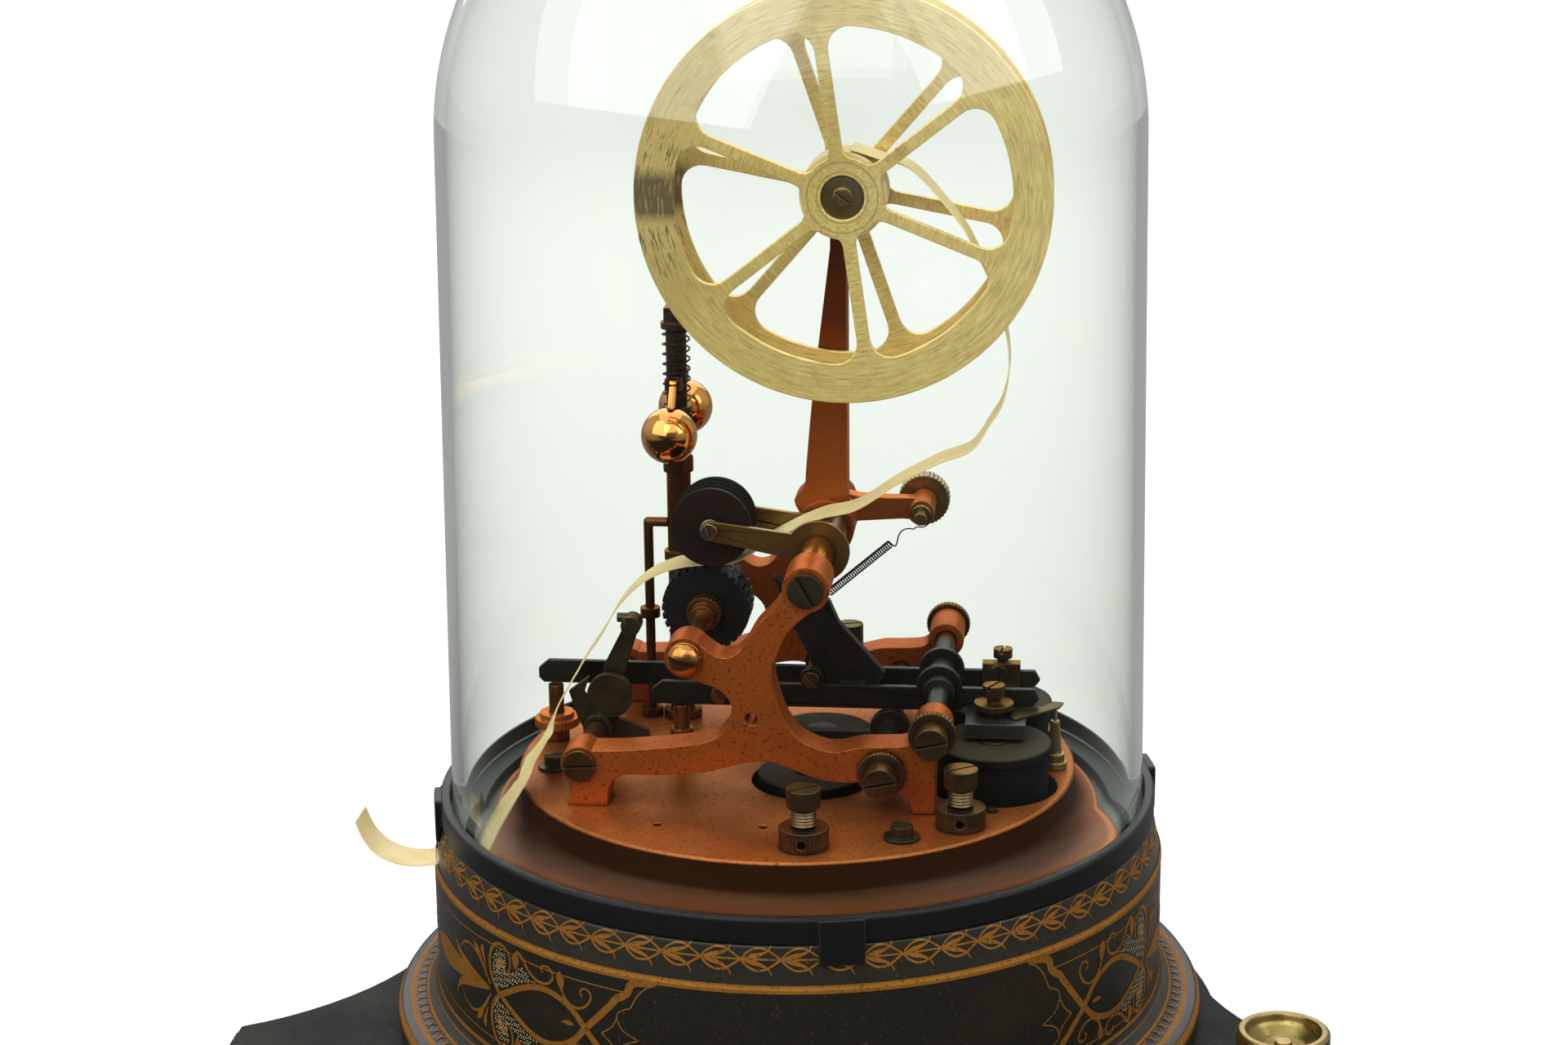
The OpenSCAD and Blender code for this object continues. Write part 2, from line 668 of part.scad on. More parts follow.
module rear_frame() color(copper) difference() {
    union() {
        plate_y(rear_y, rear_frame_t) frame_outline();
        bar_y(press_p, rear_y - rear_boss, rear_boss, pivot_boss_r);
        bar_y(tie_p, spring_arm_end, rear_y - spring_arm_end, tie_boss_r);
        post(rear_screw_at[0], rear_screw_at[1], rear_screw_z - 4, 4, 4.1);
    }
    post(rear_screw_at[0], rear_screw_at[1], rear_screw_z - 3, 8, small_screw_r);
    post(rear_screw_at[0], rear_screw_at[1], rear_screw_z, 8, 4.2);
    bar_y(press_p, rear_y - rear_boss - 1, rear_boss + 2, pivot_screw_r + hole_gap);
    bar_y(tie_p, spring_arm_end - 1, rear_y - spring_arm_end + 2, tie_r + hole_gap);
    foot_screw_holes(rear_y + rear_frame_t / 2);
}

// Tie rod with a slotted head, through both frames
module top_tie_rod() color(bronze) difference() {
    union() {
        bar_y(tie_p, front_y, rear_back_y - front_y, tie_r);
        bar_y(tie_p, front_y - 1.6, 1.6, tie_boss_r - 1.6);
    }
    slot_y(tie_p, front_y - 1.6, 0.9, 0.9, tie_boss_r, 60);
}

module top_sleeve() color(bronze) difference() {
    length = fork_y - side_gap - sleeve_y;
    bar_y(tie_p, sleeve_y, length, tie_boss_r - 1.7);
    bar_y(tie_p, sleeve_y - 1, length + 2, tie_r + hole_gap);
}

// Tapered pillar from the tie rod up to the reel
module reel_pillar() color(dark_copper) difference() {
    base_w = 12.6;
    top_w = 4.6;
    right = reel_x - 0.6;
    union() {
        plate_y(pillar_y, pillar_t) polygon(concat(
            [[right, tie_p[1] + 4], [right, reel_p[1]], [right - top_w, reel_p[1]]],
            through([[right - top_w, reel_p[1] - 18], [right - 8.3, tie_p[1] + 54],
                [right - 10.3, tie_p[1] + 37], [right - 12, tie_p[1] + 18.5],
                [right - base_w, tie_p[1] + 12.5], [right - base_w - 3, tie_p[1] + 8.4],
                [right - base_w - 1, tie_p[1] + 4]], 3)));
        bar_y(tie_p, pillar_boss_y, pillar_boss_end - pillar_boss_y, tie_boss_r + 2);
        bar_y(reel_p, pillar_y, pillar_t, axle_r + 3);
    }
    bar_y(tie_p, pillar_boss_y - 1, pillar_boss_end - pillar_boss_y + 2, tie_r + hole_gap);
    bar_y(reel_p, pillar_y - 1, pillar_t + 2, axle_r + hole_gap);
}

// Arm that holds the pull of the tension spring
knob_p = [tie_x + 28, tie_p[1] + 2.6];
knob_shaft_r = 2;
knob_boss_y = pillar_boss_end - 3;
knob_boss_end = spring_arm_end + 4;

module spring_arm() color(copper) difference() {
    union() {
        bar_y(tie_p, pillar_boss_end, spring_arm_end - pillar_boss_end, tie_boss_r + 2);
        plate_y(pillar_boss_end + 1, spring_arm_end - pillar_boss_end - 2) polygon([
            [tie_x + 3, tie_p[1] - 3], [tie_x + 8, tie_p[1] - 1.4], [knob_p[0] - 6, knob_p[1] - 3],
            [knob_p[0], knob_p[1] - 3.4], [knob_p[0], knob_p[1] + 3.4],
            [knob_p[0] - 10, knob_p[1] + 3.4], [tie_x + 9, tie_p[1] + 6.4], [tie_x + 2, tie_p[1] + 8]]);
        bar_y(knob_p, knob_boss_y, knob_boss_end - knob_boss_y, knob_shaft_r + 1.9);
    }
    bar_y(tie_p, pillar_boss_end - 1, spring_arm_end - pillar_boss_end + 2, tie_r + hole_gap);
    bar_y(knob_p, knob_boss_y - 1, knob_boss_end - knob_boss_y + 2, knob_shaft_r + run_gap);
}

// Hand knob on its shaft, with a thin tip that the spring hooks on
knob_w = 5.5;
hook_y = 22.5;
hook_r = 1.1;

module spring_knob() color(brass) {
    bar_y(knob_p, knob_boss_y - side_gap - 1.6, knob_boss_end - knob_boss_y + 1.6 + 2 * side_gap,
        knob_shaft_r);
    bar_y(knob_p, knob_boss_y - side_gap - 1.6, 1.6, knob_shaft_r + 0.9);
    bar_y(knob_p, hook_y - 1.5, knob_boss_y - side_gap - hook_y, hook_r);
    bar_y(knob_p, hook_y - 2.6, 1.1, hook_r + 0.8);
    plate_y(knob_boss_end + side_gap, knob_w) translate(knob_p) knurl(knob_r, 36, 0.35);
    bar_y(knob_p, knob_boss_end + side_gap + knob_w, 1.2, knob_r - 1.6);
}

// Pull spring between the knob's tip and the print crank
spring_stud = [tie_x + 0.4, tie_p[1] - 17.6];
stud_y = crank_y - 1.1;
spring_top = [tie_x + 19, hook_y - 1.6, tie_p[1] - 5.3];
spring_low = [tie_x + 2.6, stud_y + 0.8, tie_p[1] - 14.4];

// Points of a coil from a to b with 8 points to a turn
function coil_route(a, b, r, turns) =
    let (w = unit(b - a), u = unit(cross(w, [0, 0, 1])), v = cross(w, u), n = round(turns * 8))
    [for (i = [0 : n]) a + (b - a) * i / n + r * (cos(45 * i) * u + sin(45 * i) * v)];

// Points of an eye of radius r round a pin along Y at p
function eye_route(p, y, r, a0, a1) = [for (a = [a0 : 30 : a1])
    [p[0] + r * cos(a), y + 0.6 * (a - a0) / 360, p[1] + r * sin(a)]];

function pull_route() = let (w = unit(spring_low - spring_top)) concat(
    eye_route(knob_p, hook_y - 0.4, hook_r + 0.5, -70, 200),
    [[knob_p[0] - 3.6, hook_y - 0.4, knob_p[1] - 4.8], spring_top - 1.8 * w + [0.6, 0, 0]],
    coil_route(spring_top, spring_low, pull_spring_r, pull_turns),
    [spring_low + 1.2 * w],
    eye_route(spring_stud, stud_y - 0.2, spring_stud_r + 0.6, 150, 390));

module tension_spring() color("#6b625a") wire(pull_route(), pull_wire / 2, [0, 0, 1]);

pull_gap = least_gap(coil_route(spring_top, spring_low, pull_spring_r, pull_turns), 6) - pull_wire;
echo(pull_spring_least_gap = pull_gap);

// Paper reel

recess_r = 6.2;

module reel_axle() color(bronze) difference() {
    union() {
        bar_y(reel_p, room_y, pillar_y + pillar_t - room_y, axle_r);
        bar_y(reel_p, pillar_y - axle_collar_t, axle_collar_t, axle_r + 2);
        bar_y(reel_p, room_y - side_gap - 0.9, 0.9, recess_r - 0.6);
        bar_y(reel_p, room_y - side_gap - 1.7, 2, 2.7);
        bar_y(reel_p, room_y - side_gap, side_gap, axle_r);
    }
    slot_y(reel_p, room_y - side_gap - 1.7, 0.6, 0.6, 2.7, 35);
}

// Window between two spokes: rim arc, hub arc and four fillets
function window_points() =
    let (ri = reel_r - rim_w, half = spoke_w / 2, step = 360 / spoke_count,
         f = spoke_fillet, g = spoke_fillet * 0.6,
         ao = asin((half + f) / (ri - f)), ah = asin((half + g) / (hub_r + g)),
         co = function (a) (ri - f) * [cos(a), sin(a)],
         ch = function (a) (hub_r + g) * [cos(a), sin(a)])
    concat(
        arc(co(ao), f, -90, ao, 6),
        arc([0, 0], ri, ao + 3, step - ao - 3, 12),
        arc(co(step - ao), f, step - ao, step + 90, 6),
        arc(ch(step - ah), g, step + 90, step + 180 - ah, 5),
        arc([0, 0], hub_r, step - ah - 2, ah + 2, 3),
        arc(ch(ah), g, ah + 180, 270, 5));

module reel_flange(y0, turn, bore) difference() {
    plate_y(y0, reel_flange_t) translate(reel_p) difference() {
        circle(r = reel_r, $fn = 128);
        circle(r = bore);
        for (i = [0 : spoke_count - 1]) rotate(turn + i * 360 / spoke_count) polygon(window_points());
    }
}

module reel_front_flange() color(brass) reel_flange(reel_y, 98, recess_r);
module reel_rear_flange() color(brass) reel_flange(room_y + paper_room, 109, axle_r + run_gap);

module reel_hub() color(brass) difference() {
    bar_y(reel_p, room_y, paper_room, hub_r - 0.4);
    bar_y(reel_p, room_y - 1, paper_room + 2, axle_r + run_gap);
}

roll_y = tape_y - tape_w / 2;

module paper_roll() color("#d9c48e") difference() {
    bar_y(reel_p, roll_y, tape_w, hub_r + paper_left);
    bar_y(reel_p, roll_y - 1, tape_w + 2, hub_r - 0.4 + hole_gap);
}

// Route of the tape as [x, y, z, turn of its width about Z]
tape_route = [
    [reel_x + 2.2, tape_y, reel_p[1] + hub_r + paper_left + 0.7, 0],
    [reel_x + 10, tape_y, reel_p[1] + 10.6, 0], [reel_x + 19.7, tape_y, reel_p[1] + 7.1, 0],
    [reel_x + 31.3, tape_y, reel_p[1] - 5.5, 0], [reel_x + 37.1, tape_y, reel_p[1] - 14.8, 0],
    [reel_x + 44.2, tape_y, reel_p[1] - 31, 0], [reel_x + 47, tape_y, reel_p[1] - 46, 0],
    [reel_x + 45.6, tape_y, reel_p[1] - 58, 0], [reel_x + 41.5, tape_y, tie_p[1] + 36, 0],
    [50.6, tape_y, tie_p[1] + 28.5, 0], [41.3, tape_y, tie_p[1] + 24.6, 0],
    [29.5, tape_y, tie_p[1] + 18.2, 0], [tie_x + 10.4, tape_y, tie_p[1] + 10.4, 0],
    [tie_x, tape_y, tie_p[1] + 7.6, 0], [tie_x - 11, tape_y, tie_p[1] + 2.4, 0],
    [-15.3, tape_y, type_p[1] + 15.6, 0], [-19.8, tape_y, type_p[1] + 13.9, 0],
    [type_p[0] + 0.8, tape_y, type_p[1] + 13.55, 0],
    [type_p[0] - 9.4, tape_y, type_p[1] + 11.9, 0], [-45.2, tape_y, type_p[1] + 7.5, 0],
    [-52.7, tape_y, type_p[1] - 0.2, 0], [-57.6, tape_y - 1.2, type_p[1] - 8.4, 0],
    [-62.4, tape_y - 3, type_p[1] - 15.4, 0], [-65.6, tape_y - 5.4, type_p[1] - 20.8, 0],
    [-68.2, tape_y - 9.8, plate_z + 19.4, 0], [-70.2, tape_y - 17, plate_z + 15.4, 1],
    [-71.8, tape_y - 26, plate_z + 11.4, 4], [-73, tape_y - 33, plate_z + 9.1, 7],
    [-74.1, tape_y - 38.2, plate_z + 6.7, 9], [-75.2, tape_y - 41.8, plate_z + 4, 12],
    [-77, tape_y - 44, plate_z + 0.9, 14], [-79.2, tape_y - 44.5, plate_z - 2.8, 17],
    [-81.4, tape_y - 44, ring_top + 0.1, 20],
    [-slit_r * cos(slit_turn), -slit_r * sin(slit_turn), ledge_z + 2.4, slit_turn],
    [-84.4, -35.1, ledge_z - ledge_t - 1.4, 22.6], [-86, -33.2, ledge_z - 8.8, 20],
    [-89, -28.6, exit_z + 0.3, 12], [-93.6, -24.6, exit_z + 0.1, 2], [-98.4, exit_y, exit_z, 0],
    [-103.6, exit_y, exit_z, 0], [-109, exit_y, exit_z - 0.7, 0],
    [-115, exit_y, exit_z, 0], [-120.3, exit_y, exit_z + 2.4, 0],
    [-124, exit_y, exit_z + 6.7, 0], [-126.4, exit_y, exit_z + 12.5, 0]];

module paper_tape() color("#d9c48e") {
    p = through(tape_route, 3);
    c = [for (q = p) [q[0], q[1], q[2]]];
    t = tangents(c);
    corners = [for (i = [0 : len(p) - 1])
        let (across = unit([-sin(p[i][3]), cos(p[i][3]), 0]
                - ([-sin(p[i][3]), cos(p[i][3]), 0] * t[i]) * t[i]) * tape_w / 2,
             up = cross(t[i], unit(across)) * tape_t / 2)
        each [c[i] + across + up, c[i] - across + up, c[i] - across - up, c[i] + across - up]];
    polyhedron(points = corners, faces = tube_faces(len(p), 4));
}

// Inking

roller_y = tape_y - 11;

module fork_arm(y0) plate_y(y0, fork_t) difference() {
    polygon([tie_p + [-1, 5.6], tie_p + [-7, 5.2], roller_p + [0, 2.9], roller_p + [0, -2.9],
        tie_p + [-6.2, -2.6], tie_p + [-1, -4.6]]);
    translate(roller_p) circle(r = roller_axle_r + hole_gap);
}

module ink_arm() color(brass) difference() {
    union() {
        bar_y(tie_p, fork_y, fork_back_y - fork_y, tie_boss_r + 0.2);
        bar_y(tie_p, fork_y, fork_t, tie_boss_r + 2.6);
        fork_arm(fork_y);
        fork_arm(fork_back_y - fork_t);
        for (y0 = [fork_y, fork_back_y - fork_t]) difference() {
            bar_y(roller_p, y0, fork_t, 2.95);
            bar_y(roller_p, y0 - 1, fork_t + 2, roller_axle_r + hole_gap);
        }
    }
    bar_y(tie_p, fork_y - 1, fork_back_y - fork_y + 2, tie_r + run_gap);
}

module ink_roller_axle() color(bronze) difference() {
    union() {
        bar_y(roller_p, fork_y - 1.4, fork_back_y - fork_y + 1.4, roller_axle_r);
        bar_y(roller_p, fork_y - 1.4, 1.4, 2.4);
        bar_y(roller_p, fork_y + fork_t, roller_y - side_gap - fork_y - fork_t, 3);
        bar_y(roller_p, roller_y + roller_w + side_gap,
            fork_back_y - fork_t - roller_y - roller_w - side_gap, 3);
    }
    slot_y(roller_p, fork_y - 1.4, 0.6, 0.6, 2.4, 70);
}

module ink_roller_felt() color(black) difference() {
    w = roller_w - 2 * cheek_t;
    union() {
        bar_y(roller_p, roller_y + cheek_t, w, roller_r - 0.5);
        for (i = [0 : 2]) bar_y(roller_p, roller_y + cheek_t + 0.3 + i * w / 3, w / 3 - 0.6, roller_r);
    }
    bar_y(roller_p, roller_y, roller_w, roller_axle_r + run_gap);
}

module ink_roller_cheeks() color("#3a2420") for (y0 = [roller_y, roller_y + roller_w - cheek_t])
    difference() {
        bar_y(roller_p, y0, cheek_t, roller_r - 0.3);
        bar_y(roller_p, y0 - 1, cheek_t + 2, roller_axle_r + run_gap);
    }

// Type wheels and their shaft

front_wheel_y = tape_y - 6.5;
rear_wheel_y = front_wheel_y + front_wheel_w + 1.2;
type_front_y = front_back_y + 5.5;
type_back_y = rear_y - 1.5;
point_in = 2;
escape_y = rear_wheel_y + rear_wheel_w + 6;

module type_shaft() color(bronze) difference() {
    union() {
        bar_y(type_p, type_front_y, type_back_y - type_front_y, type_shaft_r);
        plate_y(front_wheel_y - 5.5, 5.5) translate(type_p) knurl(5.2, 24, 0.3);
        bar_y(type_p, front_wheel_y - 9, 3.5, 3.6);
        bar_y(type_p, front_wheel_y + front_wheel_w, 1.2, 5);
        bar_y(type_p, rear_wheel_y + rear_wheel_w, 6, 4);
        bar_y(type_p, escape_y + 2, 3, 4);
    }
    bar_y(type_p, type_front_y - 1, point_in + 1.5, point_r + run_gap);
    bar_y(type_p, type_back_y - point_in - 0.5, point_in + 1.5, point_r + run_gap);
}

// Flat outline with a square type on each step round the wheel
module type_outline(n, r, tall, share) {
    polygon([for (i = [0 : n - 1], k = [0 : 3])
        let (a = 360 / n * (i + (k < 2 ? -share : share) / 2), b = (k == 0 || k == 3) ? r - tall : r)
        b * [cos(a), sin(a)]]);
}

module type_wheel(y0, w) difference() {
    plate_y(y0, w) translate(type_p) difference() {
        type_outline(type_count, type_wheel_r, type_tall, 0.6);
        circle(r = type_shaft_r + hole_gap);
    }
}

module front_type_wheel() color(black) type_wheel(front_wheel_y, front_wheel_w);
module rear_type_wheel() color(black) type_wheel(rear_wheel_y, rear_wheel_w);

module escape_wheel() color(brass) plate_y(escape_y, 2) translate(type_p) difference() {
    n = 15;
    polygon([for (i = [0 : n - 1], k = [0, 1])
        (k == 0 ? escape_r : escape_r - 1.8) * [cos(360 / n * (i + 0.25 * k)), sin(360 / n * (i + 0.25 * k))]]);
    circle(r = type_shaft_r + hole_gap);
    for (i = [0 : 3]) rotate(45 + 90 * i) translate([escape_r * 0.5, 0]) circle(r = escape_r * 0.17);
}

// Slotted screws whose points carry the type shaft
module bearing_screws() color(bronze) {
    difference() {
        union() {
            bar_y(type_p, front_y, type_front_y - side_gap - front_y, pivot_screw_r);
            bar_y(type_p, type_front_y - side_gap, side_gap + point_in, point_r);
            bar_y(type_p, front_y - 1.2, 1.2, arm_boss_r - 1.1);
            bar_y(type_p, front_y - 2.2, 1, arm_boss_r - 1.8);
        }
        slot_y(type_p, front_y - 2.2, 1, 1.3, arm_boss_r, -15);
    }
    difference() {
        union() {
            bar_y(type_p, type_back_y + side_gap, rear_back_y - type_back_y - side_gap, pivot_screw_r);
            bar_y(type_p, type_back_y - point_in, point_in + side_gap, point_r);
            bar_y(type_p, rear_back_y, 2, arm_boss_r - 1.1);
        }
        slot_y(type_p, rear_back_y + 1, 1, 3, arm_boss_r, 20);
    }
}

// Shafts on points: the press lever above, the shift lever below

press_front_y = front_back_y + 5.5;
press_back_y = rear_y - rear_boss - 5.5;
shift_front_y = front_back_y + 6.5;
shift_back_y = rear_y - 4;

// Screw with a long slotted head in front of its lock nut, and a point at its other end
module front_pivot(p, end) difference() {
    union() {
        bar_y(p, front_y - lock_nut_t, end - side_gap - front_y + lock_nut_t, pivot_screw_r);
        bar_y(p, end - side_gap, side_gap + point_in, point_r);
        bar_y(p, front_y - lock_nut_t - pivot_head_h, pivot_head_h, pivot_head_r);
    }
    slot_y(p, front_y - lock_nut_t - pivot_head_h, 0.9, 1.2, pivot_head_r, -12);
}

module rear_pivot(p, end) difference() {
    union() {
        bar_y(p, end + side_gap, rear_back_y + lock_nut_t - end - side_gap, pivot_screw_r);
        bar_y(p, end - point_in, point_in + side_gap, point_r);
        bar_y(p, rear_back_y + lock_nut_t, 3, pivot_head_r);
    }
    slot_y(p, rear_back_y + lock_nut_t + 2, 0.9, 3, pivot_head_r, 80);
}

module pivot_screws() color(bronze) {
    front_pivot(press_p, press_front_y);
    front_pivot(shift_p, shift_front_y);
    rear_pivot(press_p, press_back_y);
    rear_pivot(shift_p, shift_back_y);
}

module lock_nuts() color(bronze) for (p = [press_p, shift_p], y0 = [front_y - lock_nut_t, rear_back_y])
    plate_y(y0, lock_nut_t) translate(p) difference() {
        knurl(lock_nut_r, 36, 0.3);
        circle(r = pivot_screw_r + hole_gap);
    }

// Press lever

lever_top = press_p[1] + 0.25;
lever_under = lever_top - lever_tall;
armature_top = lever_top - 5.4;
armature_low = armature_top - armature_t;
armature_x = press_coil_x + 0.6 - armature_w / 2;
spacer_x = 5;
spacer_p = [spacer_x, lever_top + 1.6];
spacer_low_p = [-22, lever_under + 3.3];

module lever_outline(left) difference() {
    union() {
        polygon([[-left, lever_under + 1.5], [-left + 1.5, lever_under], [press_x, lever_under],
            [armature_x - 2, lever_under], [armature_x, armature_top], [lever_right - 2, armature_top],
            [lever_right, armature_top + 2.6], [lever_right - 1.6, lever_top], [-left + 3, lever_top],
            [-left, lever_top - 2.5]]);
        translate(press_p) circle(r = hump_r);
        translate(spacer_p) circle(r = 3.4);
    }
    translate(press_p) circle(r = shaft_r + hole_gap);
    translate(spacer_p) circle(r = spacer_r + hole_gap);
    translate(spacer_low_p) circle(r = spacer_r + hole_gap);
}

spacer_r = 1.2;

module lever_front_plate() color(steel) plate_y(front_lever_y, lever_t) lever_outline(front_lever_left);
module lever_rear_plate() color(steel) plate_y(rear_lever_y, lever_t) lever_outline(rear_lever_left);

module lever_shaft() color(steel) difference() {
    union() {
        bar_y(press_p, press_front_y, press_back_y - press_front_y, shaft_r);
        bar_y(press_p, front_lever_y - 5, 5, shaft_r + 1.6);
        bar_y(press_p, front_lever_y + lever_t, lever_gap, shaft_r + 1.2);
        bar_y(press_p, rear_lever_y + lever_t, 5, shaft_r + 1.6);
    }
    bar_y(press_p, press_front_y - 1, point_in + 1.5, point_r + run_gap);
    bar_y(press_p, press_back_y - point_in - 0.5, point_in + 1.5, point_r + run_gap);
}

// Spacers between the plates, each with a slotted screw in front
module lever_spacers() color(bronze) for (p = [spacer_p, spacer_low_p]) difference() {
    union() {
        bar_y(p, front_lever_y + lever_t, lever_gap, 2.2);
        bar_y(p, front_lever_y, 2 * lever_t + lever_gap, spacer_r);
        bar_y(p, front_lever_y - 1.4, 1.4, 2.5);
    }
    slot_y(p, front_lever_y - 1.4, 0.6, 0.6, 2.5, 40);
}

// Tapered crank that rises from the lever to the printing side
module print_crank() color(black) difference() {
    union() {
        plate_y(crank_y, crank_t) polygon([[tie_x - 13.7, tie_p[1] - 9.6], [tie_x - 11, tie_p[1] - 19.6],
            [spacer_x - 1, lever_top + 6], [spacer_x + 2, lever_under + 1], [spacer_x + 16, lever_under + 1],
            [spacer_x + 21, lever_top + 2], [tie_x + 5.4, tie_p[1] - 23.5], [tie_x + 2.6, tie_p[1] - 17],
            [tie_x + 0.4, tie_p[1] - 15.8], [tie_x - 2.6, tie_p[1] - 17.4]]);
        plate_y(front_lever_y + lever_t, crank_y - front_lever_y - lever_t)
            polygon([[spacer_x + 8, lever_under + 1], [spacer_x + 15, lever_under + 1],
                [spacer_x + 15, lever_top - 1], [spacer_x + 8, lever_top - 1]]);
        bar_y(spring_stud, crank_y - 2.1, 2.1, spring_stud_r);
        bar_y(spring_stud, crank_y - 2.6, 0.5, spring_stud_r + 0.6);
    }
    bar_y(spacer_p, crank_y - 1, crank_t + 2, 2.2 + hole_gap);
}

// Soft iron armature across both cores of the press magnet
armature_front = -21;
armature_back = press_coil_y + 7;

module armature() color(steel) difference() {
    translate([armature_x, armature_front, armature_low])
        cube([armature_w, armature_back - armature_front, armature_t]);
    post(press_coil_x, adjuster_y, armature_low - 1, armature_t + 2, small_screw_r);
}

adjuster_y = front_lever_y - 6.4;
clamp_x = press_coil_x - 4;

// Adjusting screw in front and a clamp with two screws behind
module armature_screws() color(bronze) {
    difference() {
        union() {
            post(press_coil_x, adjuster_y, armature_low + 0.5, armature_t, small_screw_r - 0.1);
            post(press_coil_x, adjuster_y, armature_top, 2, 3.4);
            post(press_coil_x, adjuster_y, armature_top + 2, 1.8, 5.7);
            post(press_coil_x, adjuster_y, armature_top + 3.8, 1.8, 2);
            post(press_coil_x, adjuster_y, armature_top + 5.6, 3.4, 3.2);
        }
        slot_z(press_coil_x, adjuster_y, armature_top + 9, 0.8, 1.1, 3.2, 60);
    }
    difference() {
        union() {
            translate([clamp_x, rear_lever_y - 1.4, armature_top + 0.7]) cube([11.2, 1.4, 7.3]);
            bar_y([clamp_x + 4.8, armature_top + 5], rear_lever_y - 2.6, 1.2, 2.6);
            translate([clamp_x, rear_lever_y - 1.4, lever_top]) cube([11.2, 4, 2.6]);
            post(clamp_x + 6, rear_lever_y + 0.8, lever_top + 2.6, 1.4, 1.6);
            post(clamp_x + 6, rear_lever_y + 0.8, lever_top + 4, 2.8, 2.8);
        }
        slot_z(clamp_x + 6, rear_lever_y + 0.8, lever_top + 6.8, 0.7, 1, 2.8, 80);
        slot_y([clamp_x + 4.8, armature_top + 5], rear_lever_y - 2.6, 0.6, 0.6, 2.6, 80);
    }
}

// Springy contact leaf on the armature, over the contact post
leaf_t = 0.6;
leaf_gap = 1.1;

module contact_leaf() color(brass) translate([0, 0, armature_top]) linear_extrude(leaf_t)
    polygon([[armature_x + armature_w - 5, -15], [armature_x + armature_w - 3, -17.5],
        contact_at + [1.2, -3.2], contact_at + [2.4, 1], contact_at + [-0.6, 1.6],
        [lever_right + 0.9, front_lever_y - 0.4], [armature_x + armature_w - 5, -10]]);

// Shift lever on the lower pivot
shift_bar_y = -8.6;

module shift_lever() color(steel) difference() {
    union() {
        bar_y(shift_p, shift_front_y, shift_back_y - shift_front_y, shaft_r);
        bar_y(shift_p, shift_bar_y - 0.4, 3.2, shaft_r + 3);
        translate([type_coil_x - 3, shift_bar_y, shift_p[1] - 3.2])
            cube([shift_x - type_coil_x + 3, 2.8, 2.6]);
    }
    bar_y(shift_p, shift_front_y - 1, point_in + 1.5, point_r + run_gap);
    bar_y(shift_p, shift_back_y - point_in - 0.5, point_in + 1.5, point_r + run_gap);
}

// Magnets

cheek_over = 0.9;

// Bobbin of one coil with its wrapped winding between two cheeks
module coil(p, r, top) translate([p[0], p[1], top - coil_len]) rotate_extrude()
    polygon([[core_r + hole_gap, 0], [r, 0], [r, 2.5], [r - cheek_over, 2.5],
        [r - cheek_over, coil_len - 3], [r, coil_len - 3], [r, coil_len - 0.5],
        [r - 0.5, coil_len], [core_r + hole_gap, coil_len]]);

press_coil_top = plate_z + press_coil_h;
type_coil_top = plate_z + type_coil_h;

module press_coils() color(black) for (p = press_coils_at) coil(p, press_coil_r, press_coil_top);
module type_coils() color(black) for (p = type_coils_at) coil(p, type_coil_r, type_coil_top);

// Cores, the yoke below each pair and the studs that hang it from the plate
module magnet(pair, core_top, coil_top) {
    low = coil_top - coil_len;
    x = pair[0][0];
    reach = pair[1][1];
    for (p = pair) post(p[0], p[1], low, core_top - low, core_r);
    translate([x - 7, -reach - core_r - 1.5, low - yoke_t]) cube([14, 2 * reach + 2 * core_r + 3, yoke_t]);
    translate([x - hanger_out - 3, -3, low - yoke_t]) cube([2 * hanger_out + 6, 6, yoke_t]);
    for (side = [-1, 1]) post(x + side * hanger_out, 0, low, plate_z - plate_t - low, hanger_r);
}

hanger_r = 1.2;
hanger_out = 10;

module magnet_cores() color("#55504b") {
    magnet(press_coils_at, armature_low - air_gap, press_coil_top);
    magnet(type_coils_at, type_coil_top + 0.6, type_coil_top);
}

// Governor

gov_p = [-gov_left, gov_back];
column_top = plate_z + column_h;
spring_low_z = plate_z + 98.3;
spring_high_z = plate_z + 121;
head_z = spring_high_z + 0.4;
knuckle_z = plate_z + knuckle_h;
pin_out = 7;
pin_r = 0.6;
strap_w = 2.2;

module gov_post(z, h, r) post(gov_p[0], gov_p[1], z, h, r);

module governor_column() color(dark_copper) difference() {
    union() {
        gov_post(plate_z, 2.6, column_r + 2.2);
        gov_post(plate_z, column_h, column_r);
        gov_post(plate_z + 50, 3, column_r + 1.1);
        gov_post(column_top - 2.6, 4.5, column_r + 0.9);
    }
    gov_post(plate_z - 1, column_h + 5, spindle_r + run_gap);
}

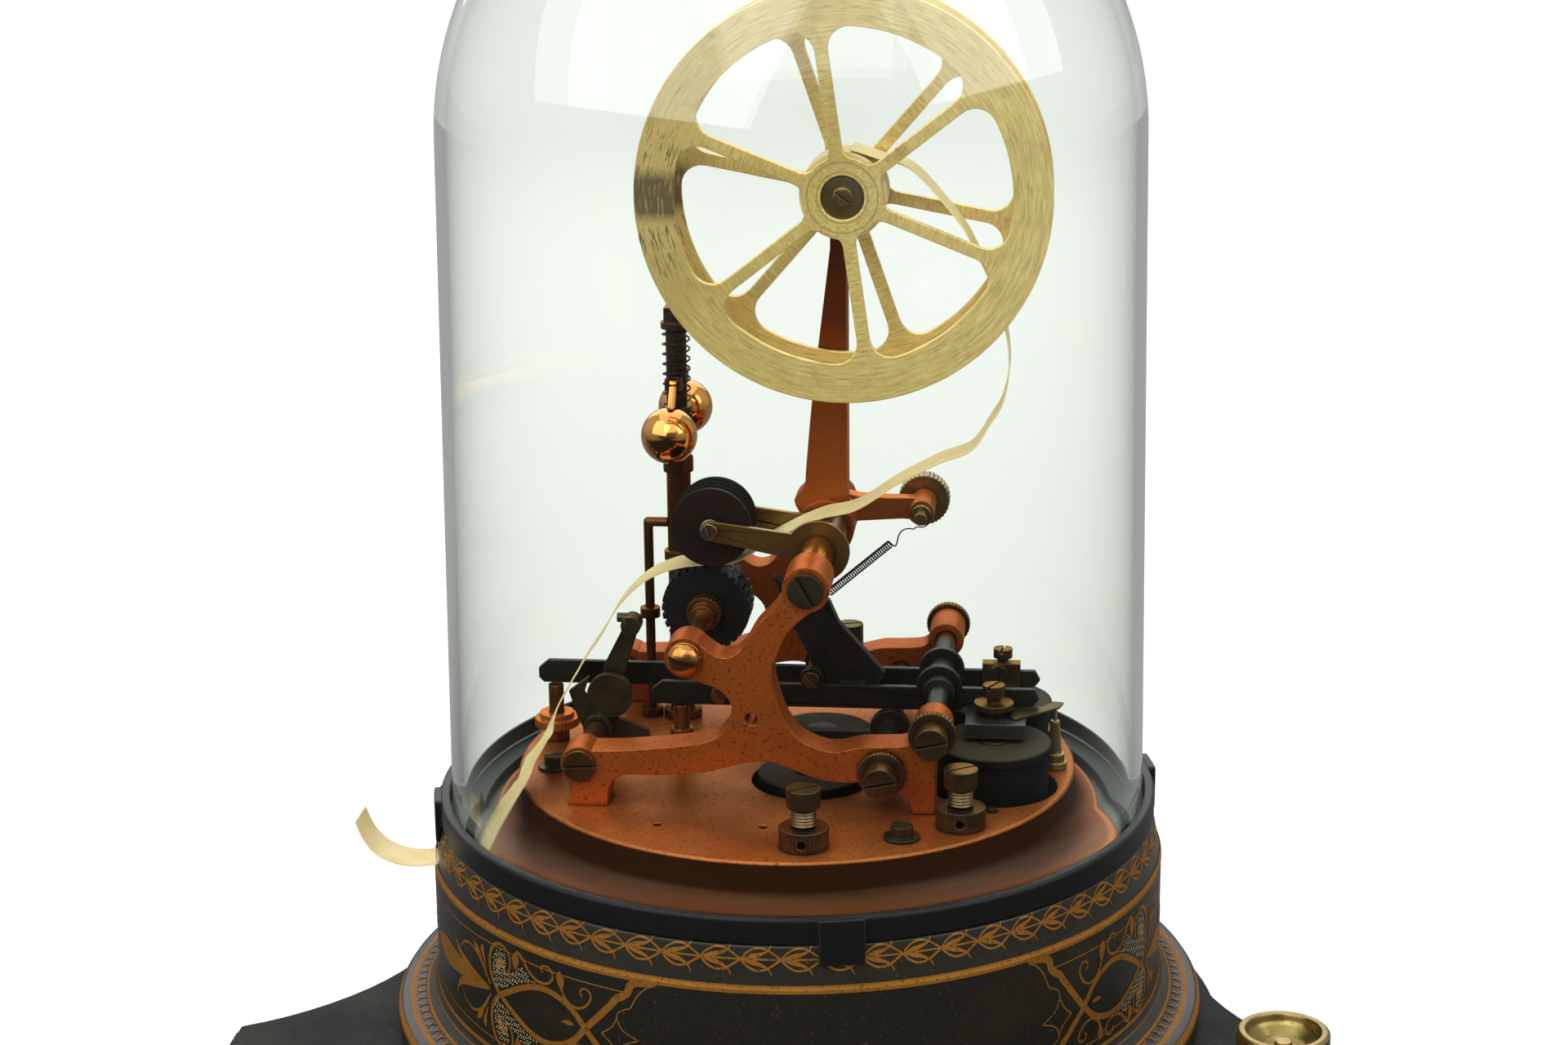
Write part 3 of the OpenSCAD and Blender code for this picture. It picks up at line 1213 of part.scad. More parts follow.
// Spindle with its thrust collar, thick part, head and the two knuckles for the balls
module governor_spindle() color(bronze) {
    seat = column_top + 1.9 + side_gap;
    gov_post(plate_z - plate_t + 1, seat - plate_z + plate_t - 1, spindle_r);
    gov_post(seat, 2, column_r);
    gov_post(seat, head_z - seat, spindle_top_r - 0.9);
    gov_post(spring_low_z - 2, head_z - spring_low_z + 2, spindle_top_r);
    gov_post(spring_low_z - 2, 1.6, gov_spring_r + 0.6);
    gov_post(head_z, 2, gov_spring_r + 0.5);
    translate([gov_p[0] - 3.2, gov_p[1] - 3.2, head_z + 2]) cube([6.4, 6.4, plate_z + spindle_h - head_z - 2]);
    for (side = [0, 1]) translate([gov_p[0], gov_p[1], knuckle_z]) rotate([0, 0, 180 * side]) {
        translate([-1.1, -5, lug_lift(side) - 0.6]) cube([2.2, 3, 1.2]);
        translate([-2.5, -5.4, -1.8]) cube([5, 0.8, 3.6]);
        for (x = [-2.5, 1.4]) translate([x, -8.2, -1.8]) cube([1.1, 3.6, 3.6]);
        translate([-2.5, -pin_out, 0]) rotate([0, 90, 0]) cylinder(r = pin_r, h = 5, $fn = 24);
    }
}

// Height at which the spring leaves room for a lug in front (side 0) and behind (side 1)
gov_pitch = (spring_high_z - spring_low_z) / gov_turns;
function coil_above(phase) = spring_low_z
    + gov_pitch * (phase + floor((knuckle_z - spring_low_z) / gov_pitch - phase));
function lug_lift(side) = coil_above(side == 0 ? 0.75 : 0.25) + gov_pitch / 2 - knuckle_z;

function gov_route() = [for (i = [0 : gov_turns * 8])
    [gov_p[0] + gov_spring_r * cos(45 * i), gov_p[1] + gov_spring_r * sin(45 * i),
        spring_low_z + (spring_high_z - spring_low_z) * i / (gov_turns * 8)]];

module governor_spring() color("#3c332c") wire(gov_route(), gov_wire / 2, [0, 0, 1]);

echo(governor_spring_least_gap = least_gap(gov_route(), 6) - gov_wire);

// Polished ball on a short strap with an eye round the pin
module ball_arm(side) translate([gov_p[0], gov_p[1], knuckle_z]) rotate([0, 0, 180 * side]) {
    dy = ball_out - pin_out;
    dz = knuckle_z - plate_z - ball_h;
    length = norm([dy, dz]);
    tilt = atan2(dz, dy);
    difference() {
        union() {
            translate([0, -ball_out, -dz]) sphere(r = ball_r);
            translate([0, -pin_out, 0]) rotate([tilt, 0, 0]) translate([-strap_w / 2, -length, -0.7])
                cube([strap_w, length, 1.4]);
            translate([-strap_w / 2, -pin_out, 0]) rotate([0, 90, 0]) cylinder(r = 1.3, h = strap_w, $fn = 32);
        }
        translate([-strap_w, -pin_out, 0]) rotate([0, 90, 0])
            cylinder(r = pin_r + run_gap, h = 2 * strap_w, $fn = 32);
    }
}

module governor_ball_front() color("#c06a2c") ball_arm(0);
module governor_ball_rear() color("#c06a2c") ball_arm(1);

// Bent rod that steadies the column
stay_x = gov_p[0] - 9.6;
stay_r = 1.45;
stay_top = plate_z + 61.5;

module stay_rod() color(bronze) {
    post(stay_x, gov_back, plate_z, stay_top - plate_z, stay_r);
    translate([stay_x, gov_back, stay_top]) sphere(r = stay_r);
    translate([stay_x, gov_back, stay_top]) rotate([0, 90, 0])
        cylinder(r = stay_r, h = gov_p[0] - column_r - stay_x);
    post(stay_x, gov_back, plate_z, 2.5, stay_r + 2);
    post(stay_x, gov_back, plate_z + 31.5, 3, stay_r + 1.6);
}

// Paper feed at the left

feed_shaft_r = 2.5;
feed_end_y = rear_y + 4;
feed_y = -14;

module feed_shaft() color(bronze) difference() {
    union() {
        bar_y(feed_p, front_y, feed_end_y - front_y, feed_shaft_r);
        bar_y(feed_p, front_y - 1.7, 1.7, pivot_boss_r - 0.8);
        bar_y(feed_p, front_back_y, feed_y - side_gap - 2.5 - front_back_y, feed_shaft_r + 0.7);
        bar_y(feed_p, feed_y + 11 + side_gap, 3, feed_shaft_r + 1.4);
    }
    slot_y(feed_p, front_y - 1.7, 0.9, 1, pivot_boss_r, -3);
}

module feed_rocker() color(bronze) difference() {
    union() {
        bar_y(feed_p, feed_y, 11, feed_shaft_r + 1.7);
        plate_y(feed_y + 4.5, 1.6) polygon([feed_p + [-9, 9.9], feed_p + [-2.9, 14.6], feed_p + [-4.4, 9.6],
            feed_p + [0.1, 3.6], feed_p + [4, 2.6], feed_p + [14.4, -1.4], feed_p + [15, -4.2],
            feed_p + [8.2, -5.4], feed_p + [-3, -5], feed_p + [-6.5, 1.5]]);
        bar_y(feed_p + [3.5, 9.5], feed_y + 2, 2.5, 6.7);
        bar_y(feed_p + [3.5, 9.5], feed_y + 4.5, 2.6, 6);
        plate_y(feed_y + 6.1, 3) polygon([feed_p + [-1.4, 3], feed_p + [3.4, 3], feed_p + [11.6, 28.6],
            feed_p + [8, 30.6], feed_p + [1.8, 18.5]]);
        bar_y(feed_p + [9.7, 30], feed_y + 4.6, 6, 2.9);
        translate([feed_p[0] + 5.5, feed_y + 7.6, feed_p[1] + 31.9]) rotate([0, 90, 0])
            cylinder(r = 1.4, h = 5.6);
    }
    bar_y(feed_p, feed_y - 1, 13, feed_shaft_r + run_gap);
}

// Stops under the lever plates, the rear one with a knurled hand nut
stop_r = 2.3;
stop_top = lever_under - side_gap;
stop_nut_z = plate_z + 4.4;

module stop_posts() color(bronze) {
    post(stop_rear_at[0], stop_rear_at[1], plate_z, stop_top - plate_z, stop_r);
    post(stop_rear_at[0], stop_rear_at[1], plate_z, stop_nut_z - side_gap - plate_z, stop_r + 1.4);
    post(stop_front_at[0], stop_front_at[1], plate_z, stop_top - plate_z, stop_r);
    post(stop_front_at[0], stop_front_at[1], plate_z + 7, 3, stop_r + 1.2);
}

module stop_nut() color(copper) translate([stop_rear_at[0], stop_rear_at[1], stop_nut_z]) difference() {
    union() {
        linear_extrude(2.6) knurl(lock_nut_r, 36, 0.3);
        cylinder(r = lock_nut_r - 1.6, h = 4.2);
    }
    translate([0, 0, -1]) cylinder(r = stop_r + run_gap, h = 7);
}

// Binding posts and their slotted hand screws
bind_base_r = 6.9;
bind_base_h = 5.9;
bind_thread_r = 3.2;
bind_rise = 11.8;
bind_hole_h = 2.8;

module binding_posts() color(bronze) for (p = [binding_a, binding_b]) difference() {
    union() {
        translate([p[0], p[1], plate_z]) linear_extrude(bind_base_h) knurl(bind_base_r, 40, 0.25);
        post(p[0], p[1], plate_z - plate_t, plate_t, small_screw_r - 0.1);
    }
    post(p[0], p[1], plate_z + bind_base_h - 4.5, 5, bind_thread_r - 1.2 + run_gap);
    translate([p[0], p[1], plate_z + bind_hole_h]) rotate([90, 0, 0])
        cylinder(r = 1.2, h = bind_base_r + 1, $fn = 32);
}

module binding_screw(p) difference() {
    union() {
        post(p[0], p[1], plate_z + bind_base_h - 2, 2 + side_gap, bind_thread_r - 1.2);
        post(p[0], p[1], plate_z + bind_base_h + side_gap, bind_rise - bind_base_h - side_gap, bind_thread_r);
        post(p[0], p[1], plate_z + bind_rise, 5.2, 4.7);
    }
    slot_z(p[0], p[1], plate_z + bind_rise + 5.2, 0.9, 1.3, 4.7, 35);
}

module binding_screw_front() color(bronze) binding_screw(binding_a);
module binding_screw_side() color(bronze) binding_screw(binding_b);

// Small screws of the plate and the rear frame, and the screws that hold the frames' feet from below
module plate_screws() color(bronze) {
    difference() {
        union() {
            post(rear_screw_at[0], rear_screw_at[1], rear_screw_z - 3, 4, small_screw_r - 0.1);
            post(rear_screw_at[0], rear_screw_at[1], rear_screw_z, 8.4, 4.1);
        }
        slot_z(rear_screw_at[0], rear_screw_at[1], rear_screw_z + 8.4, 0.8, 1.2, 4.1, 15);
    }
    for (p = [washer_screw, left_screw]) difference() {
        union() {
            post(p[0], p[1], plate_z, 0.9, 5);
            post(p[0], p[1], plate_z, 3.9, 3.2);
            post(p[0], p[1], plate_z - plate_t, plate_t, small_screw_r - 0.1);
        }
        slot_z(p[0], p[1], plate_z + 3.9, 0.7, 1.1, 3.2, 20);
    }
    post(nickel_pin[0], nickel_pin[1], plate_z - plate_t, plate_t + 1, small_screw_r - 0.1);
    for (p = frame_screws_at) {
        post(p[0], p[1], plate_z - plate_t, plate_t + 5.5, frame_screw_r - 0.1);
        post(p[0], p[1], plate_z - plate_t - 2, 2, frame_screw_r + 1.6);
    }
}

// Contact post with a fine pin under the leaf
module contact_post() color(brass) {
    pin_top = armature_top - leaf_gap;
    translate([contact_at[0], contact_at[1], plate_z]) {
        cylinder(r = 3.6, h = 2);
        cylinder(r = 2.9, h = 4.5);
        translate([0, 0, 4.5]) cylinder(r1 = 2.1, r2 = 1.3, h = 10);
        cylinder(r = 0.6, h = pin_top - plate_z, $fn = 24);
    }
    post(contact_at[0], contact_at[1], plate_z - plate_t, plate_t, small_screw_r - 0.1);
}

board();
drum();
terminal_studs();
terminal_nut_rear();
terminal_nut_front();
dome_ring();
mechanism_plate();
front_frame();
rear_frame();
top_tie_rod();
top_sleeve();
reel_pillar();
spring_arm();
spring_knob();
tension_spring();
reel_axle();
reel_front_flange();
reel_rear_flange();
reel_hub();
paper_roll();
paper_tape();
ink_arm();
ink_roller_axle();
ink_roller_felt();
ink_roller_cheeks();
type_shaft();
front_type_wheel();
rear_type_wheel();
escape_wheel();
bearing_screws();
pivot_screws();
lock_nuts();
lever_front_plate();
lever_rear_plate();
lever_shaft();
lever_spacers();
print_crank();
armature();
armature_screws();
contact_leaf();
shift_lever();
press_coils();
type_coils();
magnet_cores();
governor_column();
governor_spindle();
governor_spring();
governor_ball_front();
governor_ball_rear();
stay_rod();
feed_shaft();
feed_rocker();
stop_posts();
stop_nut();
binding_posts();
binding_screw_front();
binding_screw_side();
plate_screws();
contact_post();
glass_dome();
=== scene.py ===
"""Stock ticker under a glass dome: looks, light and camera around the CAD frame."""

import math

import bpy
from mathutils import Matrix, Vector

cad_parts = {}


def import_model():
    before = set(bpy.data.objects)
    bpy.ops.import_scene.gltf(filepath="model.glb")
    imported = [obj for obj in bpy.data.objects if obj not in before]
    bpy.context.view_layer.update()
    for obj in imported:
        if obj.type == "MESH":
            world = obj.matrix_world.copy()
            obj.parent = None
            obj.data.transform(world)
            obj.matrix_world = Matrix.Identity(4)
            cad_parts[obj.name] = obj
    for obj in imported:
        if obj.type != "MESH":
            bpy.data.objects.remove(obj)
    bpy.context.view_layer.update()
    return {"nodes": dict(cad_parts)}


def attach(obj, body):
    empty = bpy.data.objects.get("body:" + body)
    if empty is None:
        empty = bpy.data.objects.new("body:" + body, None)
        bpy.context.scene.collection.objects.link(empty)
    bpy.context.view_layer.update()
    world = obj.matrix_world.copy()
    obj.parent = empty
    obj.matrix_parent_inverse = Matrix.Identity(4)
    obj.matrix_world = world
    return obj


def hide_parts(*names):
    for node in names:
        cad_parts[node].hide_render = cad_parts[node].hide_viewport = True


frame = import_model()
nodes = frame["nodes"]
scene = bpy.context.scene
MM = 0.001
TAU = 2 * math.pi

# Levels and radii of the CAD frame, in millimetres
DRUM_R = 107.5
FOOT_R = 119.8
GLASS_Z = 94.5
DOME_R = 101.6
CAP_R = 99.0
CAP_Z = 291.3
GLASS_T = 3.0
REEL = (14.3, 273.3)
COIL_TOP = 120
LOW_COIL_TOP = 109
TAPE_W = 12.7
TAPE_T = 0.4
TAPE_STEPS = 8


# Shader building blocks

def material(name):
    mat = bpy.data.materials.new(name)
    mat.use_nodes = True
    mat.node_tree.nodes.clear()
    return mat, mat.node_tree


def surface(name):
    """A new material, its node tree and the place on the object."""
    mat, tree = material(name)
    return mat, tree, add(tree, "ShaderNodeTexCoord").outputs["Object"]


def add(tree, kind, inputs=None, **props):
    n = tree.nodes.new(kind)
    for k, v in props.items():
        setattr(n, k, v)
    for k, v in (inputs or {}).items():
        if isinstance(v, bpy.types.NodeSocket):
            tree.links.new(v, n.inputs[k])
        else:
            n.inputs[k].default_value = v
    return n


def rgba(c):
    return (c[0], c[1], c[2], 1.0)


def noise(tree, where, scale, detail=3.0, rough=0.55):
    return add(tree, "ShaderNodeTexNoise", {
        "Vector": where, "Scale": scale, "Detail": detail, "Roughness": rough}).outputs["Fac"]


def remap(tree, value, a, b, c=0.0, d=1.0):
    n = add(tree, "ShaderNodeMapRange", {
        "Value": value, "From Min": a, "From Max": b, "To Min": c, "To Max": d})
    n.clamp = True
    return n.outputs["Result"]


def maths(tree, op, a, b=None, c=None):
    n = tree.nodes.new("ShaderNodeMath")
    n.operation = op
    for i, v in enumerate((a, b, c)):
        if v is None:
            continue
        if isinstance(v, bpy.types.NodeSocket):
            tree.links.new(v, n.inputs[i])
        else:
            n.inputs[i].default_value = v
    return n.outputs[0]


def mix(tree, fac, a, b):
    n = tree.nodes.new("ShaderNodeMix")
    n.data_type = "RGBA"
    for key, v in (("Factor", fac), ("A", a), ("B", b)):
        socket = [s for s in n.inputs if s.name == key and (key == "Factor" or s.type == "RGBA")][0]
        if isinstance(v, bpy.types.NodeSocket):
            tree.links.new(v, socket)
        else:
            socket.default_value = v if key == "Factor" else rgba(v)
    return [s for s in n.outputs if s.type == "RGBA"][0]


def stretched(tree, where, scale):
    return add(tree, "ShaderNodeMapping", {"Vector": where, "Scale": scale}).outputs["Vector"]


def finish_surface(tree, color, rough, metallic=0.0, bump=None, strength=0.1, distance=0.0001,
                   coat=0.0, coat_rough=0.15, specular=0.5, tint=(1, 1, 1)):
    inputs = {
        "Specular Tint": rgba(tint), "Roughness": rough, "Metallic": metallic, "Coat Weight": coat,
        "Coat Roughness": coat_rough, "Specular IOR Level": specular}
    bsdf = add(tree, "ShaderNodeBsdfPrincipled", inputs)
    if isinstance(color, bpy.types.NodeSocket):
        tree.links.new(color, bsdf.inputs["Base Color"])
    else:
        bsdf.inputs["Base Color"].default_value = rgba(color)
    if bump is not None:
        b = add(tree, "ShaderNodeBump", {"Height": bump, "Strength": strength, "Distance": distance})
        tree.links.new(b.outputs["Normal"], bsdf.inputs["Normal"])
    add(tree, "ShaderNodeOutputMaterial", {"Surface": bsdf.outputs["BSDF"]})


def edge_mask(tree, radius):
    """1 on an edge, 0 on a flat face."""
    bevel = add(tree, "ShaderNodeBevel", {"Radius": radius}, samples=4)
    flat = add(tree, "ShaderNodeNewGeometry")
    dot = add(tree, "ShaderNodeVectorMath", operation="DOT_PRODUCT")
    tree.links.new(bevel.outputs["Normal"], dot.inputs[0])
    tree.links.new(flat.outputs["Normal"], dot.inputs[1])
    return remap(tree, dot.outputs["Value"], 0.97, 0.85)


def crevice_grime_and_shade(tree, color, reach=0.0022, grime_and_shade=(0.004, 0.003, 0.002), amount=0.9):
    """Old grime and painted shade in slots, threads and corners: darker where ambient occlusion finds other
    surfaces close.
    """
    seen = add(tree, "ShaderNodeAmbientOcclusion", {"Distance": reach}, samples=6)
    share = maths(tree, "MULTIPLY", remap(tree, seen.outputs["AO"], 0.78, 0.28), amount)
    return mix(tree, share, color, grime_and_shade)


def metal(name, base, dark, rough=0.3, spread=0.12, blotch=45.0, blotch_mix=0.5, speck=0.35,
          speck_scale=1500.0, speck_color=None, edge=None, edge_mix=0.6, edge_radius=0.0003, brush=None,
          bump=0.05, metallic=1.0, tint=(1, 1, 1), specular=0.5, foot=None, seed=0.0):
    """Old metal: blotches of a darker tone, fine specks, brushed grain and edges of another tone; a paler
    edge is rubbed metal and a painted highlight in one.
    """
    mat, t, place = surface(name)
    shift = (seed, 0.37 * seed, 0.11 * seed)
    at = add(t, "ShaderNodeMapping", {"Vector": place, "Location": shift}).outputs["Vector"]
    broad = noise(t, at, blotch, 4.0, 0.6)
    color = mix(t, maths(t, "MULTIPLY", remap(t, broad, 0.42, 0.68), blotch_mix), base, dark)
    if foot:
        height = add(t, "ShaderNodeSeparateXYZ", {"Vector": place})
        color = mix(t, remap(t, height.outputs["Z"], foot[1], foot[0], 0.0, 0.85), color, foot[2])
    fine = noise(t, at, speck_scale, 2.0, 0.6)
    spots = remap(t, fine, 0.56, 0.68)
    color = mix(t, maths(t, "MULTIPLY", spots, speck), color, speck_color or dark)
    # Edge colour: where it is paler than the metal, rubbed wear and a painted highlight along the edges.
    if edge is not None:
        mask = maths(t, "MULTIPLY", edge_mask(t, edge_radius), edge_mix)
        color = mix(t, mask, color, edge)
    # Grime and painted shade darken the hollows.
    color = crevice_grime_and_shade(t, color)
    grain = noise(t, stretched(t, at, brush), 600.0, 3.0, 0.7) if brush else fine
    value = maths(t, "MULTIPLY_ADD", grain, spread, rough - spread / 2)
    value = maths(t, "MULTIPLY_ADD", broad, spread * 0.8, value)
    finish_surface(t, color, value, metallic, grain, bump, 0.00008, tint=tint, specular=specular)
    return mat


# Materials

def copper_lacquer(name, base, dark, seed, rough=0.3):
    """Copper bronze under a speckled lacquer, with dark worn edges."""
    return metal(name, base, dark, rough=rough, spread=0.14, blotch=26.0, blotch_mix=0.6, speck=0.75,
                 speck_scale=950.0, speck_color=(0.07, 0.018, 0.006), edge=(0.06, 0.02, 0.009), edge_mix=0.8,
                 edge_radius=0.0007, bump=0.08, metallic=0.62, tint=(1.0, 0.50, 0.20), seed=seed)


# Where an edge colour below is paler than its metal, it paints rubbed wear and a highlight together.
MAT = {
    "frame": copper_lacquer("frame_lacquer", (0.48, 0.108, 0.018), (0.23, 0.046, 0.008), 0.3, 0.34),
    "rear": copper_lacquer("rear_frame_lacquer", (0.42, 0.100, 0.020), (0.19, 0.042, 0.010), 1.7, 0.36),
    "pillar": metal("pillar_copper", (0.155, 0.030, 0.006), (0.075, 0.014, 0.004), 0.34, blotch=34.0,
                    blotch_mix=0.8, speck=0.4, foot=(0.21, 0.235, (0.44, 0.105, 0.020)),
                    edge=(0.34, 0.10, 0.03), edge_mix=0.4, edge_radius=0.0006, metallic=0.6,
                    tint=(1.0, 0.5, 0.25), seed=4.1),
    "arm": metal("arm_copper", (0.54, 0.16, 0.042), (0.28, 0.078, 0.022), 0.28, blotch=60.0, speck=0.3,
                 metallic=0.7, tint=(1.0, 0.55, 0.25), seed=5.3),
    "bronze": metal("screw_bronze", (0.13, 0.075, 0.038), (0.040, 0.024, 0.014), 0.26, blotch=140.0,
                    blotch_mix=0.7, speck=0.3, edge=(0.50, 0.34, 0.17), edge_mix=0.7,
                    brush=(6, 6, 1), metallic=0.85, tint=(1.0, 0.7, 0.4), seed=6.7),
    "rod": metal("rod_bronze", (0.20, 0.085, 0.028), (0.075, 0.032, 0.014), 0.24, blotch=90.0,
                 blotch_mix=0.6, speck=0.25, edge=(0.5, 0.3, 0.13), edge_mix=0.5,
                 metallic=0.85, tint=(1.0, 0.7, 0.4), seed=7.9),
    "brass": metal("plain_brass", (0.36, 0.24, 0.08), (0.14, 0.085, 0.03), 0.24, blotch=80.0, blotch_mix=0.5,
                   speck=0.25, edge=(0.75, 0.55, 0.27), edge_mix=0.5, metallic=0.9,
                   seed=8.3),
    "nut": metal("nut_brass", (0.25, 0.185, 0.062), (0.10, 0.070, 0.025), 0.24, blotch=80.0, blotch_mix=0.5,
                 speck=0.25, edge=(0.62, 0.48, 0.24), edge_mix=0.5, metallic=0.9,
                 seed=8.3),
    "fork": metal("fork_brass", (0.26, 0.15, 0.045), (0.10, 0.055, 0.018), 0.27, blotch=70.0, blotch_mix=0.6,
                  speck=0.3, edge=(0.55, 0.36, 0.14), edge_mix=0.5,
                  brush=(1, 8, 14), metallic=0.85, seed=3.3),
    "olive": metal("olive_brass", (0.060, 0.046, 0.024), (0.024, 0.018, 0.010), 0.3, blotch=120.0,
                   blotch_mix=0.7, speck=0.3, edge=(0.36, 0.27, 0.13), edge_mix=0.6,
                   metallic=0.7, tint=(1.0, 0.85, 0.6), specular=0.3, seed=9.1),
    "spindle": metal("spindle_steel", (0.085, 0.052, 0.034), (0.030, 0.018, 0.013), 0.25, blotch=120.0,
                     speck=0.3, edge=(0.25, 0.15, 0.09), edge_mix=0.5,
                     metallic=0.8, tint=(1.0, 0.7, 0.45), seed=10.2),
    "column": metal("column_bronze", (0.12, 0.045, 0.016), (0.045, 0.016, 0.008), 0.26, blotch=70.0,
                    blotch_mix=0.6, speck=0.4, metallic=0.8, tint=(1.0, 0.65, 0.4), seed=11.5),
    "cheek": metal("cheek_brown", (0.018, 0.009, 0.006), (0.008, 0.004, 0.003), 0.45, blotch=90.0, speck=0.3,
                   edge=(0.17, 0.11, 0.06), edge_mix=0.6, metallic=0.2,
                   specular=0.12, seed=2.2),
    "steel": metal("black_lever", (0.016, 0.014, 0.011), (0.008, 0.007, 0.006), 0.36, blotch=90.0, speck=0.4,
                   speck_color=(0.05, 0.036, 0.022), edge=(0.34, 0.29, 0.21), edge_mix=0.8,
                   edge_radius=0.0004, metallic=0.4, specular=0.15, seed=12.4),
    "iron": metal("soft_iron", (0.050, 0.044, 0.034), (0.016, 0.014, 0.010), 0.36, blotch=100.0, speck=0.4,
                  edge=(0.30, 0.26, 0.2), edge_radius=0.0006, metallic=0.6, specular=0.2, seed=13.6),
    "bright": metal("bright_nickel", (0.62, 0.54, 0.38), (0.35, 0.28, 0.17), 0.18, blotch=160.0, speck=0.15,
                    seed=14.4),
    "wheel": metal("type_rubber", (0.007, 0.007, 0.007), (0.014, 0.012, 0.010), 0.42, blotch=150.0,
                   speck=0.3, edge=(0.10, 0.09, 0.08), edge_mix=0.8, metallic=0.0,
                   specular=0.12, seed=15.1),
    "ball": metal("ball_copper", (0.80, 0.34, 0.10), (0.58, 0.20, 0.05), 0.07, spread=0.04, blotch=70.0,
                  blotch_mix=0.35, speck=0.10, speck_scale=1100.0, bump=0.02, seed=16.2),
    "polished": metal("polished_bronze", (0.52, 0.215, 0.060), (0.27, 0.10, 0.027), 0.16, blotch=80.0,
                      blotch_mix=0.5, speck=0.2, edge=(0.55, 0.32, 0.13), edge_mix=0.5,
                      metallic=0.95, tint=(1.0, 0.75, 0.45), seed=17.1),
    "wire": metal("spring_wire", (0.018, 0.013, 0.010), (0.010, 0.008, 0.007), 0.35, metallic=0.2,
                  specular=0.2, seed=18.2),
}


def plate_lacquer():
    """The plate's top is speckled orange; below its edge the dark brown is painted shade and the bright lip a
    painted highlight.
    """
    mat, t, at = surface("plate_lacquer")
    split = add(t, "ShaderNodeSeparateXYZ", {"Vector": at})
    height = split.outputs["Z"]
    broad = noise(t, at, 22.0, 5.0, 0.62)
    fine = noise(t, at, 950.0, 2.0, 0.6)
    dots = remap(t, fine, 0.56, 0.66)
    top = mix(t, remap(t, broad, 0.38, 0.66), (0.46, 0.135, 0.032), (0.27, 0.066, 0.014))
    top = mix(t, maths(t, "MULTIPLY", dots, 0.7), top, (0.10, 0.032, 0.013))
    turned = add(t, "ShaderNodeCombineXYZ", {"Z": height}).outputs[0]
    rings = noise(t, turned, 2600.0, 3.0, 0.7)
    out = add(t, "ShaderNodeCombineXYZ", {"X": split.outputs["X"], "Y": split.outputs["Y"]})
    radius = add(t, "ShaderNodeVectorMath", operation="LENGTH")
    t.links.new(out.outputs[0], radius.inputs[0])
    # Painted shade: the plate's side and cove are dark brown, paler towards the flange.
    low = mix(t, rings, (0.030, 0.009, 0.003), (0.070, 0.020, 0.006))
    low = mix(t, remap(t, radius.outputs["Value"], 0.0825, 0.0872, 0.0, 0.8), low, (0.22, 0.052, 0.012))
    # Painted highlight: the lip at the plate's foot is bright copper.
    low = mix(t, remap(t, radius.outputs["Value"], 0.0872, 0.0882), low, (0.62, 0.23, 0.075))
    color = mix(t, remap(t, height, 0.1055, 0.1062), low, top)
    rough = maths(t, "MULTIPLY_ADD", fine, 0.16, remap(t, height, 0.1055, 0.1062, 0.40, 0.28))
    # Grime and painted shade darken the plate's hollows.
    color = crevice_grime_and_shade(t, color, 0.003)
    finish_surface(t, color, rough, 0.55, tint=(1.0, 0.55, 0.28))
    return mat


